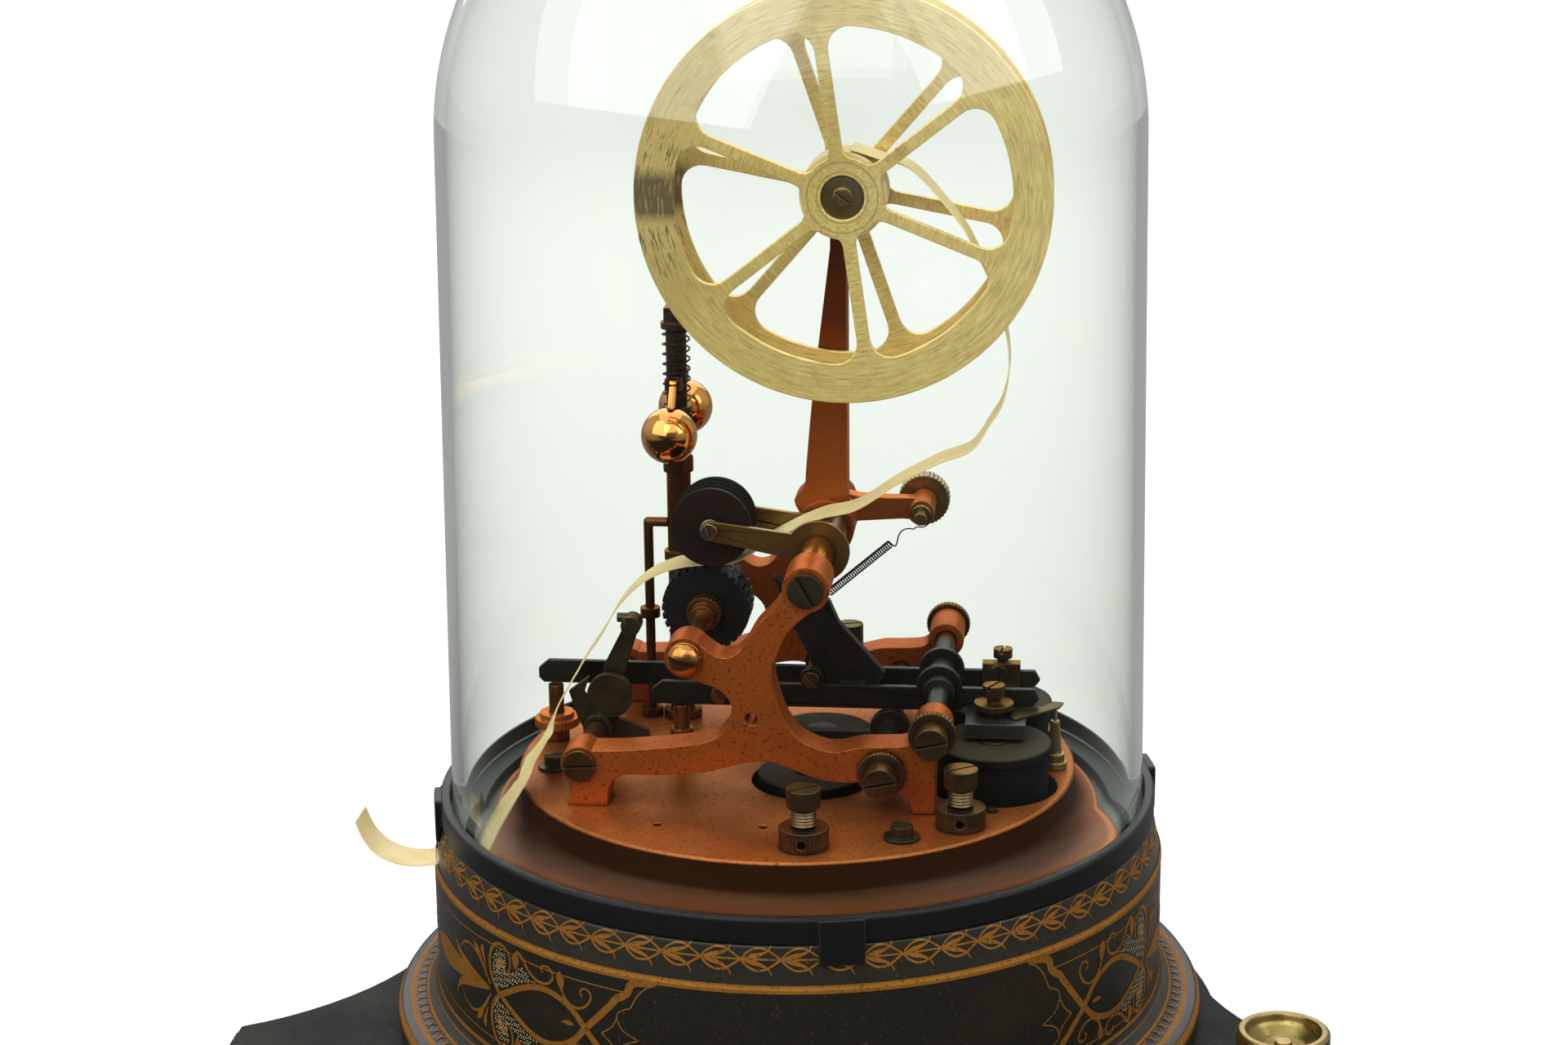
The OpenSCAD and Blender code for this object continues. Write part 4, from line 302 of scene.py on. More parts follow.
def reel_brass():
    """Pale brass turned on a lathe, with broken rings and brown stains at the left of the rim."""
    mat, t, at = surface("reel_brass")
    local = add(t, "ShaderNodeVectorMath", operation="SUBTRACT")
    t.links.new(at, local.inputs[0])
    local.inputs[1].default_value = (REEL[0] * MM, 0.0, REEL[1] * MM)
    parts = add(t, "ShaderNodeSeparateXYZ", {"Vector": local.outputs[0]})
    across, along = parts.outputs["X"], parts.outputs["Z"]
    flat = add(t, "ShaderNodeCombineXYZ", {"X": across, "Y": along})
    radius = add(t, "ShaderNodeVectorMath", operation="LENGTH")
    t.links.new(flat.outputs[0], radius.inputs[0])
    angle = maths(t, "ARCTAN2", along, maths(t, "ABSOLUTE", across))
    ring = add(t, "ShaderNodeCombineXYZ", {
        "X": radius.outputs["Value"], "Y": maths(t, "MULTIPLY", angle, 0.005)})
    rings = noise(t, ring.outputs[0], 1300.0, 3.0, 0.75)
    scratch = noise(t, stretched(t, ring.outputs[0], (3.0, 1.0, 1.0)), 900.0, 2.0, 0.6)
    broad = noise(t, at, 30.0, 5.0, 0.62)
    color = mix(t, remap(t, rings, 0.35, 0.65), (0.74, 0.50, 0.145), (1.0, 0.79, 0.33))
    color = mix(t, maths(t, "MULTIPLY", remap(t, broad, 0.50, 0.66), 0.35), color, (0.50, 0.33, 0.11))
    color = mix(t, maths(t, "MULTIPLY", remap(t, scratch, 0.62, 0.70), 0.75), color, (0.22, 0.14, 0.05))
    for turned in (0.0072, 0.0100):
        off = maths(t, "ABSOLUTE", maths(t, "SUBTRACT", radius.outputs["Value"], turned))
        color = mix(t, remap(t, off, 0.00030, 0.00012, 0.0, 0.55), color, (0.26, 0.16, 0.05))
    patches = noise(t, at, 75.0, 5.0, 0.7)
    color = mix(t, remap(t, patches, 0.57, 0.70, 0.0, 0.42), color, (0.34, 0.20, 0.06))
    # Painted shade: the brass darkens towards the left of the reel.
    shade = remap(t, across, -0.058, 0.050)
    color = mix(t, maths(t, "SUBTRACT", 0.26, maths(t, "MULTIPLY", shade, 0.26)), color, (0.44, 0.29, 0.09))
    rim = remap(t, across, -0.0440, -0.0475)
    off_level = maths(t, "ABSOLUTE", along)
    strong = maths(t, "MULTIPLY", rim, remap(t, off_level, 0.0085, 0.0045))
    weak = maths(t, "MULTIPLY", remap(t, across, -0.036, -0.050), remap(t, off_level, 0.036, 0.012))
    strong = maths(t, "MULTIPLY", strong, remap(t, rings, 0.30, 0.46))
    weak = maths(t, "MULTIPLY", weak, remap(t, rings, 0.52, 0.60))
    stain = maths(t, "MULTIPLY", maths(t, "MAXIMUM", strong, weak), 0.86)
    color = mix(t, stain, color, (0.060, 0.032, 0.012))
    mask = maths(t, "MULTIPLY", edge_mask(t, 0.0005), 0.5)
    color = mix(t, mask, color, (0.25, 0.16, 0.06))
    rough = maths(t, "MULTIPLY_ADD", rings, 0.16, 0.22)
    # Grime and painted shade darken the reel's hollows.
    color = crevice_grime_and_shade(t, color, 0.0018, (0.05, 0.03, 0.012), 0.7)
    finish_surface(t, color, rough, 0.38, rings, 0.20, 0.00006, tint=(1.0, 0.82, 0.48))
    return mat


def japan_black():
    """Black japanned sheet metal, worn through to brown specks."""
    mat, t, at = surface("japan_black")
    fine = noise(t, at, 900.0, 4.0, 0.65)
    broad = noise(t, at, 35.0, 5.0, 0.6)
    color = mix(t, maths(t, "MULTIPLY", remap(t, fine, 0.60, 0.70), 0.5), (0.012, 0.0105, 0.0070),
                (0.075, 0.055, 0.026))
    color = mix(t, maths(t, "MULTIPLY", remap(t, broad, 0.5, 0.75), 0.5), color, (0.026, 0.020, 0.010))
    rough = maths(t, "MULTIPLY_ADD", fine, 0.22, 0.24)
    finish_surface(t, color, rough, 0.0, fine, 0.10, 0.0001, specular=0.22, coat=0.05, coat_rough=0.12)
    return mat


def ring_satin():
    mat, t, at = surface("ring_satin")
    fine = noise(t, at, 1400.0, 3.0, 0.6)
    # Painted highlight: the ring's edges are paler grey, as light catches its chamfers.
    mask = maths(t, "MULTIPLY", edge_mask(t, 0.0006), 0.6)
    color = mix(t, mask, mix(t, fine, (0.004, 0.004, 0.004), (0.008, 0.008, 0.008)), (0.07, 0.07, 0.07))
    rough = maths(t, "MULTIPLY_ADD", fine, 0.2, 0.32)
    finish_surface(t, color, rough, 0.0, fine, 0.1, 0.00008, specular=0.18)
    return mat


def gilt():
    mat, t, at = surface("gilt")
    fine = noise(t, at, 1200.0, 3.0, 0.65)
    broad = noise(t, at, 60.0, 4.0, 0.6)
    color = mix(t, broad, (0.27, 0.115, 0.019), (0.17, 0.068, 0.011))
    color = mix(t, maths(t, "MULTIPLY", remap(t, fine, 0.56, 0.64), 0.75), color, (0.035, 0.025, 0.012))
    rough = maths(t, "MULTIPLY_ADD", fine, 0.2, 0.42)
    finish_surface(t, color, rough, 0.35, fine, 0.2, 0.0001, specular=0.15, tint=(1.0, 0.7, 0.35))
    return mat


def dot_paint():
    mat, t, at = surface("dot_paint")
    color = mix(t, noise(t, at, 500.0), (0.40, 0.33, 0.17), (0.26, 0.19, 0.08))
    finish_surface(t, color, 0.55)
    return mat


def board_black():
    """Thick old black paint, crackled and rubbed."""
    mat, t, at = surface("board_black")
    cracks = add(t, "ShaderNodeTexVoronoi", {"Vector": at, "Scale": 420.0}, feature="DISTANCE_TO_EDGE")
    crack = remap(t, cracks.outputs["Distance"], 0.0, 0.09)
    fine = noise(t, at, 700.0, 5.0, 0.7)
    broad = noise(t, at, 40.0, 4.0, 0.6)
    color = mix(t, remap(t, broad, 0.4, 0.7), (0.011, 0.011, 0.010), (0.024, 0.024, 0.020))
    color = mix(t, maths(t, "MULTIPLY", remap(t, fine, 0.62, 0.72), 0.6), color, (0.17, 0.14, 0.11))
    height = maths(t, "MULTIPLY_ADD", crack, 0.5, fine)
    finish_surface(t, color, maths(t, "MULTIPLY_ADD", fine, 0.3, 0.52), 0.0, height, 0.5, 0.0004,
                   specular=0.1)
    return mat


def paper():
    mat, t, at = surface("aged_paper")
    broad = noise(t, at, 60.0, 4.0, 0.6)
    fibre = noise(t, at, 1600.0, 3.0, 0.6)
    color = mix(t, remap(t, broad, 0.35, 0.7), (0.80, 0.65, 0.36), (0.66, 0.50, 0.24))
    color = mix(t, maths(t, "MULTIPLY", remap(t, fibre, 0.6, 0.72), 0.35), color, (0.48, 0.34, 0.18))
    finish_surface(t, color, 0.75, 0.0, fibre, 0.12, 0.00008, specular=0.25)
    return mat


def felt():
    mat, t, at = surface("ink_felt")
    fibre = noise(t, at, 1300.0, 5.0, 0.7)
    color = mix(t, fibre, (0.004, 0.0045, 0.004), (0.014, 0.015, 0.012))
    finish_surface(t, color, 0.95, 0.0, fibre, 0.7, 0.0004, specular=0.03)
    return mat


def coil_wrap(name, top):
    """Dark cloth round a coil, and the paler disc and edge at its top; the paler edge is rubbed wear and a
    painted highlight in one.
    """
    mat, t, at = surface(name)
    fine = noise(t, at, 800.0, 4.0, 0.65)
    broad = noise(t, at, 70.0, 3.0, 0.6)
    color = mix(t, remap(t, broad, 0.4, 0.7), (0.005, 0.005, 0.005), (0.010, 0.009, 0.008))
    height = add(t, "ShaderNodeSeparateXYZ", {"Vector": at}).outputs["Z"]
    disc = mix(t, broad, (0.034, 0.026, 0.018), (0.060, 0.046, 0.032))
    color = mix(t, remap(t, height, top - 0.0007, top - 0.0002), color, disc)
    # Paler edges: rubbed wear and a painted highlight.
    color = mix(t, maths(t, "MULTIPLY", edge_mask(t, 0.0004), 0.4), color, (0.16, 0.13, 0.10))
    # Grime and painted shade darken the coil's hollows.
    color = crevice_grime_and_shade(t, color)
    uneven = maths(t, "MULTIPLY_ADD", fine, 0.25, 0.42)
    finish_surface(t, color, uneven, 0.0, fine, 0.3, 0.0002, specular=0.05)
    return mat


def clear_glass():
    """Old clear glass, grey-green in its depth; lamps shine through it."""
    mat, t = material("clear_glass")
    glass = add(t, "ShaderNodeBsdfPrincipled", {
        "Base Color": (0.945, 0.962, 0.948, 1), "Roughness": 0.0, "IOR": 1.45, "Transmission Weight": 1.0})
    clear = add(t, "ShaderNodeBsdfTransparent", {"Color": (0.96, 0.975, 0.965, 1)})
    path = add(t, "ShaderNodeLightPath")
    either = maths(t, "MAXIMUM", path.outputs["Is Shadow Ray"], path.outputs["Is Diffuse Ray"])
    either = maths(t, "MAXIMUM", either, maths(t, "GREATER_THAN", path.outputs["Glossy Depth"], 0.5))
    shader = add(t, "ShaderNodeMixShader", {0: either, 1: glass.outputs["BSDF"], 2: clear.outputs["BSDF"]})
    volume = add(t, "ShaderNodeVolumeAbsorption", {"Color": (0.70, 0.80, 0.66, 1), "Density": 58.0})
    add(t, "ShaderNodeOutputMaterial", {"Surface": shader.outputs[0], "Volume": volume.outputs[0]})
    return mat


MAT.update(
    reel=reel_brass(), japan=japan_black(), ring=ring_satin(), gilt=gilt(), dots=dot_paint(),
    board=board_black(), paper=paper(), felt=felt(), glass=clear_glass(),
    plate=plate_lacquer(), coil=coil_wrap("coil_wrap", COIL_TOP * MM),
    low_coil=coil_wrap("low_coil_wrap", LOW_COIL_TOP * MM),
)


# Mesh building blocks

def piece(name, verts, faces, mat, body="base", slot=None, replaces=(), smooth=True, angle=None):
    """A mesh in millimetres in the shared frame, riding on a CAD body."""
    mesh = bpy.data.meshes.new(name)
    mesh.from_pydata([tuple(c * MM for c in v) for v in verts], [], faces)
    mesh.validate()
    mesh.update()
    if smooth:
        mesh.shade_smooth()
        if angle:
            mesh.set_sharp_from_angle(angle=math.radians(angle))
    mesh.materials.append(MAT[mat])
    obj = bpy.data.objects.new(name, mesh)
    scene.collection.objects.link(obj)
    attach(obj, body)
    if replaces:
        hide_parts(*replaces)


def lathe_mesh(profile, segs, at, axis="z"):
    """Vertices and faces of a closed profile [(radius, height)] turned round an axis."""
    verts, faces = [], []
    n = len(profile)
    for i in range(segs):
        a = TAU * i / segs
        for r, h in profile:
            c, s = r * math.cos(a), r * math.sin(a)
            if axis == "z":
                verts.append((at[0] + c, at[1] + s, at[2] + h))
            else:
                verts.append((at[0] + c, at[1] + h, at[2] + s))
    for i in range(segs):
        j = (i + 1) % segs
        for k in range(n):
            m = (k + 1) % n
            quad = (i * n + k, j * n + k, j * n + m, i * n + m)
            faces.append(quad if axis == "z" else quad[::-1])
    return verts, faces


def lathe(name, profile, mat, segs, at, axis, angle, **kw):
    piece(name, *lathe_mesh(profile, segs, at, axis), mat, angle=angle, **kw)


def tube_mesh(path, radius, sides):
    """A round wire along a path, with capped ends."""
    pts = [Vector(p) for p in path]
    up = Vector((0, 0, 1))
    verts, faces = [], []
    for i, p in enumerate(pts):
        d = (pts[min(i + 1, len(pts) - 1)] - pts[max(i - 1, 0)]).normalized()
        up = (up - d * up.dot(d)).normalized()
        side = d.cross(up)
        for k in range(sides):
            a = TAU * k / sides
            verts.append(tuple(p + up * (radius * math.cos(a)) + side * (radius * math.sin(a))))
    for i in range(len(pts) - 1):
        for k in range(sides):
            m = (k + 1) % sides
            faces.append((i * sides + k, (i + 1) * sides + k, (i + 1) * sides + m, i * sides + m))
    faces.append(tuple(range(sides)))
    faces.append(tuple(range((len(pts) - 1) * sides, len(pts) * sides))[::-1])
    return verts, faces


def through(points, steps):
    """A smooth curve through points of any dimension."""
    out = []
    n = len(points)
    for i in range(n - 1):
        p = [points[max(i - 1, 0)], points[i], points[i + 1], points[min(i + 2, n - 1)]]
        for s in range(steps):
            t = s / steps
            out.append(tuple(
                0.5 * (2 * b + (c - a) * t + (2 * a - 5 * b + 4 * c - d) * t * t
                       + (3 * b - a - 3 * c + d) * t ** 3)
                for a, b, c, d in zip(*p)))
    out.append(tuple(points[-1]))
    return out


def merged(*parts):
    verts, faces = [], []
    for v, f in parts:
        base = len(verts)
        verts += v
        faces += [tuple(i + base for i in face) for face in f]
    return verts, faces


# CAD nodes that stay: rounded edges, smooth shading and a finish

WELD_WITHIN = 0.005
EDGE_SEGMENTS = 2
EDGE_ANGLE = 32
FACE_WEIGHT = 50


def polish(name, mat, width):
    obj = nodes[name]
    mesh = obj.data
    if "custom_normal" in mesh.attributes:
        mesh.attributes.remove(mesh.attributes["custom_normal"])
    mesh.shade_smooth()
    mesh.materials.clear()
    mesh.materials.append(MAT[mat])
    weld = obj.modifiers.new("weld", "WELD")
    weld.merge_threshold = WELD_WITHIN * MM
    bevel = obj.modifiers.new("edges", "BEVEL")
    bevel.width = width * MM
    bevel.segments = EDGE_SEGMENTS
    bevel.limit_method = "ANGLE"
    bevel.angle_limit = math.radians(EDGE_ANGLE)
    bevel.use_clamp_overlap = False
    flat = obj.modifiers.new("flat", "WEIGHTED_NORMAL")
    flat.weight = FACE_WEIGHT
    flat.keep_sharp = False


KEPT = {
    "board": ("board", 0.8), "drum": ("japan", 0.3), "dome_ring": ("ring", 0.5),
    "terminal_studs": ("brass", 0.2), "terminal_nut_rear": ("nut", 0.3), "terminal_nut_front": ("nut", 0.3),
    "mechanism_plate": ("plate", 0.3), "front_frame": ("frame", 0.25), "rear_frame": ("rear", 0.25),
    "top_tie_rod": ("olive", 0.2), "top_sleeve": ("polished", 0.15), "reel_pillar": ("pillar", 0.2),
    "spring_arm": ("arm", 0.3), "spring_knob": ("brass", 0.2), "reel_axle": ("brass", 0.15),
    "reel_front_flange": ("reel", 0.3), "reel_rear_flange": ("reel", 0.3), "reel_hub": ("reel", 0.1),
    "paper_roll": ("paper", 0.1), "ink_arm": ("fork", 0.2), "ink_roller_axle": ("bright", 0.1),
    "ink_roller_cheeks": ("cheek", 0.3), "type_shaft": ("rod", 0.12),
    "front_type_wheel": ("wheel", 0.03), "rear_type_wheel": ("wheel", 0.03), "escape_wheel": ("brass", 0.03),
    "bearing_screws": ("polished", 0.2), "pivot_screws": ("bronze", 0.2), "lock_nuts": ("bronze", 0.25),
    "lever_front_plate": ("steel", 0.2), "lever_rear_plate": ("steel", 0.2), "lever_shaft": ("steel", 0.2),
    "lever_spacers": ("bronze", 0.2), "print_crank": ("steel", 0.2), "armature": ("iron", 0.2),
    "armature_screws": ("bronze", 0.15), "contact_leaf": ("olive", 0.05), "shift_lever": ("steel", 0.2),
    "press_coils": ("coil", 0.3), "type_coils": ("low_coil", 0.3), "magnet_cores": ("iron", 0.2),
    "governor_column": ("column", 0.2), "governor_spindle": ("spindle", 0.15),
    "governor_ball_front": ("ball", 0.1), "governor_ball_rear": ("ball", 0.1), "stay_rod": ("column", 0.1),
    "feed_shaft": ("rod", 0.15), "feed_rocker": ("olive", 0.15), "stop_posts": ("rod", 0.15),
    "stop_nut": ("arm", 0.15), "binding_posts": ("bronze", 0.15), "binding_screw_front": ("bronze", 0.15),
    "binding_screw_side": ("bronze", 0.15), "plate_screws": ("olive", 0.15), "contact_post": ("brass", 0.15),
}
for node_name, (mat_key, edge_width) in KEPT.items():
    polish(node_name, mat_key, edge_width)


# Glass dome

WALL_STEPS = 12
CAP_STEPS = 32
DOME_SEGS = 256
FOOT_ROUND = 1.2
FOOT_INSET = 0.4
FOOT_RISE = 0.35


def dome_profile():
    """Outline of the glass outside, from its rounded foot up, and inside, from the top down."""
    wall = [i / WALL_STEPS for i in range(WALL_STEPS + 1)]
    cap = [math.radians(90 * i / CAP_STEPS) for i in range(1, CAP_STEPS + 1)]
    straight = CAP_Z - GLASS_Z
    inner_r, inner_cap = DOME_R - GLASS_T, CAP_R - GLASS_T

    def side(r, k):
        return r + (CAP_R - DOME_R) * k, FOOT_ROUND + (straight - FOOT_ROUND) * k

    def round_top(r, a):
        return max(r * math.cos(a), 0.0), straight + r * math.sin(a)

    outer = [(DOME_R - FOOT_ROUND, 0.0), (DOME_R - FOOT_INSET, FOOT_RISE)]
    outer += [side(DOME_R, k) for k in wall] + [round_top(CAP_R, a) for a in cap]
    inner = [round_top(inner_cap, a) for a in reversed(cap)] + [side(inner_r, k) for k in reversed(wall)]
    inner += [(inner_r + FOOT_INSET, FOOT_RISE), (inner_r + FOOT_ROUND, 0.0)]
    return outer, inner


def glass_dome():
    outer, inner = dome_profile()
    profile = outer[:-1] + inner[1:]
    verts, faces = lathe_mesh(profile, DOME_SEGS, (0, 0, GLASS_Z))
    n, top, under = len(profile), len(outer) - 2, len(outer) - 1
    faces = [f for f in faces if (f[0] % n, f[3] % n) != (top, under)]
    crown = len(verts)
    verts += [(0, 0, GLASS_Z + outer[-1][1]), (0, 0, GLASS_Z + inner[0][1])]
    for i in range(DOME_SEGS):
        j = (i + 1) % DOME_SEGS
        faces.append((i * n + top, j * n + top, crown))
        faces.append((j * n + under, i * n + under, crown + 1))
    piece("glass", verts, faces, "glass", body="dome", slot="clear_glass", replaces=("glass_dome",))


glass_dome()


# Gilding on the drum, painted in thin strokes; places are (angle, height)

TOP_LINE = 80.3
LOW_LINE = 43.0
MID_LINE = 62.0
PANEL_TURN = 13.0
ARC_MM = math.radians(1) * DRUM_R
LIFT = 0.07
STROKE_MIN = 0.12
RING_SEGS = 240
RIM_Z = 91.2
RIM_R = 104.8
RIM_FALL = 0.75
SLOPE_Z = 81.1
SLOPE_R = 107.0
TOP_FALL = 0.625
COVE_TOP = 46.5
COVE = [(116.6, 37.1), (110.1, 38.1), (107.7, 40.9), (DRUM_R, COVE_TOP)]


def cove_point(t):
    s = 1 - t
    w = (s ** 3, 3 * s * s * t, 3 * s * t * t, t ** 3)
    return sum(a * p[0] for a, p in zip(w, COVE)), sum(a * p[1] for a, p in zip(w, COVE))


def drum_radius(z):
    """Radius of the drum's outside at a height."""
    if z > RIM_Z:
        return RIM_R - (z - RIM_Z) * RIM_FALL
    if z > SLOPE_Z:
        return SLOPE_R - (z - SLOPE_Z) * (SLOPE_R - RIM_R) / (RIM_Z - SLOPE_Z)
    if z > TOP_LINE:
        return DRUM_R - (z - TOP_LINE) * TOP_FALL
    if z >= COVE_TOP:
        return DRUM_R
    lo, hi = 0.0, 1.0
    for _ in range(20):
        m = (lo + hi) / 2
        if cove_point(m)[1] < z:
            lo = m
        else:
            hi = m
    return cove_point(lo)[0]


def on_drum(phi, z, lift=LIFT):
    a = math.radians(phi + PANEL_TURN)
    r = drum_radius(z) + lift
    return (r * math.sin(a), -r * math.cos(a), z)


def stroke(points, widths, steps, place=None):
    """A painted stroke whose width changes along it, as vertices and faces."""
    if len(widths) != len(points):
        a, b = widths[0], widths[-1]
        widths = [a + (b - a) * i / (len(points) - 1) for i in range(len(points))]
    if place:
        points = [place(p) for p in points]
    path = through([(p[0] * ARC_MM, p[1], w) for p, w in zip(points, widths)], steps)
    verts, faces = [], []
    for i, (s, z, w) in enumerate(path):
        a, b = path[max(i - 1, 0)], path[min(i + 1, len(path) - 1)]
        ds, dz = b[0] - a[0], b[1] - a[1]
        n = math.hypot(ds, dz) or 1.0
        half = max(w, STROKE_MIN) / 2
        for k in (-1, 0, 1):
            verts.append(on_drum((s - dz / n * half * k) / ARC_MM, z + ds / n * half * k))
    for i in range(len(path) - 1):
        for k in (0, 1):
            faces.append((3 * i + k, 3 * i + 3 + k, 3 * i + 4 + k, 3 * i + 1 + k))
    if place and place.flips:
        faces = [f[::-1] for f in faces]
    return verts, faces


class Quadrant:
    """Carries a place of the upper left quarter of a panel to another quarter."""

    def __init__(self, turn, mirror, low, mid):
        self.turn, self.mirror, self.low, self.mid = turn, mirror, low, mid
        self.flips = mirror != low

    def __call__(self, p):
        up = (p[1] - MID_LINE) / (TOP_LINE - MID_LINE)
        reach = (self.mid - LOW_LINE) if self.low else (TOP_LINE - self.mid)
        z = self.mid - up * reach if self.low else self.mid + up * reach
        return (self.turn + (-p[0] if self.mirror else p[0]), z)


QUARTER = [
    ([(-28, 80.2), (-29.5, 79.4), (-31.3, 78.8), (-32.1, 77.6), (-32.5, 75.6), (-33.4, 74.2), (-34.4, 73.1),
      (-35.2, 71.2), (-36.4, 68.8), (-37.9, 65.8), (-39.9, 62)], [2.4, 1.9]),
    ([(-39.9, 62), (-41.8, 65.9), (-43.5, 68), (-45.2, 69.2), (-47, 69.8), (-49.2, 69.5), (-51.4, 68.2),
      (-54, 65.9), (-56.2, 63.6), (-57.8, 62)], [1.9, 1.7]),
    ([(-57.8, 62), (-59.2, 64.5), (-60.1, 67.5), (-60.3, 70.5), (-60, 73.5), (-59.3, 75.6), (-58.3, 77.1),
      (-57.1, 77.6), (-56, 76.9), (-55.2, 75.4), (-55, 73.2), (-55.3, 70.9), (-56.2, 68.9)], [1.5, 0.6]),
    ([(-57.3, 73.6), (-57.9, 71), (-58.4, 68.3)], [0.5, 2.5, 0.3]),
    ([(-56.9, 73.2), (-56.6, 71.2), (-56.4, 69)], [0.5, 1.5, 0.4]),
    ([(-53.4, 77.6), (-53.7, 75), (-53.8, 72)], [0.5, 3.2, 0.4]),
    ([(-53.4, 77.7), (-52.3, 76.9), (-51.3, 74.6), (-50.1, 72.6), (-48.7, 71.5), (-47.2, 71.6), (-46.1, 72.9),
      (-45.7, 74.6), (-46, 76.1), (-46.8, 76.9), (-47.7, 76.6), (-48.1, 75.5), (-47.6, 74.7)], [1.1, 0.45]),
    ([(-44.3, 76.8), (-44.3, 74.6), (-44.1, 71.4)], [0.5, 2.9, 0.7]),
    ([(-44.1, 72), (-43.8, 70.2), (-43.1, 68.7), (-42.2, 67.7), (-41.1, 67.5), (-40, 68.3), (-39.1, 70),
      (-38.7, 72), (-39.1, 73.5), (-39.9, 73.8), (-40.5, 73.1), (-40.6, 72), (-40.2, 71.4)], [0.9, 0.45]),
    ([(-60.5, 62.3), (-64, 63.2), (-68.4, 65), (-71, 67.3), (-72.5, 71.2)], [0.3, 1.7, 2.6, 1.7, 0.2]),
    ([(-60.4, 63.4), (-61.4, 66), (-62.3, 68.3), (-63.6, 70), (-65, 71.3), (-66.7, 71.8), (-68.8, 70.5),
      (-70.3, 68)], [0.6, 0.8, 0.9, 0.9, 0.8, 0.7, 0.6, 0.3]),
    ([(-61.3, 65.2), (-62.6, 68.5), (-63.9, 71.6), (-64.9, 73.6)], [0.3, 1, 2.3, 0.5]),
    ([(-61.3, 67.6), (-62, 70.5), (-62.4, 72.8), (-62.2, 74.4)], [0.3, 1, 1.9, 0.4]),
    ([(-28.1, 78.9), (-29.6, 77.7), (-30.9, 75.2), (-31.7, 72.6), (-32.1, 71.1)], [0.4, 0.4]),
    ([(-32.1, 71.1), (-33.4, 70.1), (-34.2, 68.9), (-34.4, 67.3)], [0.4, 0.4]),
    ([(-34.4, 67.3), (-35.3, 64.5), (-37, 62)], [0.4, 0.4]),
    ([(-34.4, 67.3), (-33.4, 64.1), (-30.9, 62)], [0.4, 0.4]),
    ([(-33.3, 75.6), (-40, 75.8), (-48, 75.9), (-56, 76.3), (-64, 76), (-72, 75.6), (-80, 75.4), (-90, 75.4)],
     [0.42, 0.42]),
]
MIDDLE = [
    ([(-44.3, 62), (-43, 62.3), (-41.8, 62)], [0.2, 1.5, 0.2]),
    ([(-60.8, 62), (-66, 62), (-72, 62), (-77, 62), (-81, 62), (-83, 62)], [0.2, 3, 6.2, 8, 5, 0.4]),
    ([(-87.2, 62), (-90, 62)], [0.3, 2.4]),
]
DOT_FIELD = [(-58.8, 63.6), (-59.3, 66), (-59.4, 71), (-58.9, 74.6), (-57.3, 76.3), (-56, 75.4),
             (-55.8, 72.5), (-56.8, 70), (-55.4, 69.6), (-54, 71.3), (-52.9, 73), (-52, 73.6), (-51, 71.8),
             (-49, 70.9), (-50.4, 70), (-52.5, 68.9), (-55, 66.6), (-57.3, 64.3)]
LINK = [
    ([(0, 0), (0.13, 1.6), (0.36, 2.9), (0.62, 2.6), (0.85, 1.1), (1, 0)], [0.5, 0.5]),
    ([(0, 0), (0.13, -1.6), (0.36, -2.9), (0.62, -2.6), (0.85, -1.1), (1, 0)], [0.6, 0.6]),
    ([(0.02, 0), (0.28, 0.8), (0.5, 1.4), (0.68, 2.4), (0.75, 4)], [0.3, 1.3, 0.9, 0.45, 0.2]),
    ([(0.02, 0), (0.28, -0.8), (0.5, -1.5), (0.68, -2.6), (0.77, -4.3)], [0.3, 1.3, 0.9, 0.45, 0.2]),
    ([(0.3, 0), (0.65, 0), (1, 0)], [0.6, 0.35]),
]
LINK_COUNT = 61
LINK_START = -62.8
LINK_Z = 88.4
PANELS = [(0, False, 62.0), (0, True, 59.0), (180, False, 62.0), (180, True, 62.0)]
DOT_COLS = 22
DOT_ROWS = 18
DOT_FIRST = (-60, 63)
DOT_STEP = (0.6, 0.86)
DOT_R = 0.30
DOT_SIDES = 6
BAND = [(DRUM_R, 79.4), (DRUM_R - 0.05, TOP_LINE), (107.05, 81.1), (106.95, 81.6)]
COVE_LINES = [(0.02, 0.10), (0.34, 0.40), (0.62, 0.65), (0.80, 0.88)]
FOOT_LINE = [(FOOT_R + LIFT, 33.6), (FOOT_R + LIFT, 35.0), (FOOT_R - 0.95, 36.55)]
LATTICE_COUNT = 150
LATTICE_ENDS = (0.12, 0.32)
LATTICE_REACH = 1.4
LATTICE_HALF = 0.16
LATTICE_LIFT = 2.2 * LIFT


def inside(p, poly):
    hit = False
    for (x0, y0), (x1, y1) in zip(poly, poly[1:] + poly[:1]):
        if (y0 > p[1]) != (y1 > p[1]) and p[0] < (x1 - x0) * (p[1] - y0) / (y1 - y0) + x0:
            hit = not hit
    return hit


def ring_strip(r0, z0, r1, z1):
    verts, faces = [], []
    for i in range(RING_SEGS):
        a = TAU * i / RING_SEGS
        for r, z in ((r0, z0), (r1, z1)):
            verts.append((r * math.cos(a), r * math.sin(a), z))
    for i in range(RING_SEGS):
        j = (i + 1) % RING_SEGS
        faces.append((2 * i, 2 * j, 2 * j + 1, 2 * i + 1))
    return verts, faces


def dot_places():
    """Slightly uneven rows of dots inside the dotted field of a panel's quarter."""
    for i in range(DOT_COLS):
        for j in range(DOT_ROWS):
            p = (DOT_FIRST[0] + DOT_STEP[0] * i + 0.3 * (j % 2) + 0.09 * math.sin(7.1 * i + 3.3 * j),
                 DOT_FIRST[1] + DOT_STEP[1] * j + 0.16 * math.sin(5.3 * i + 2.9 * j))
            if inside(p, DOT_FIELD):
                yield p


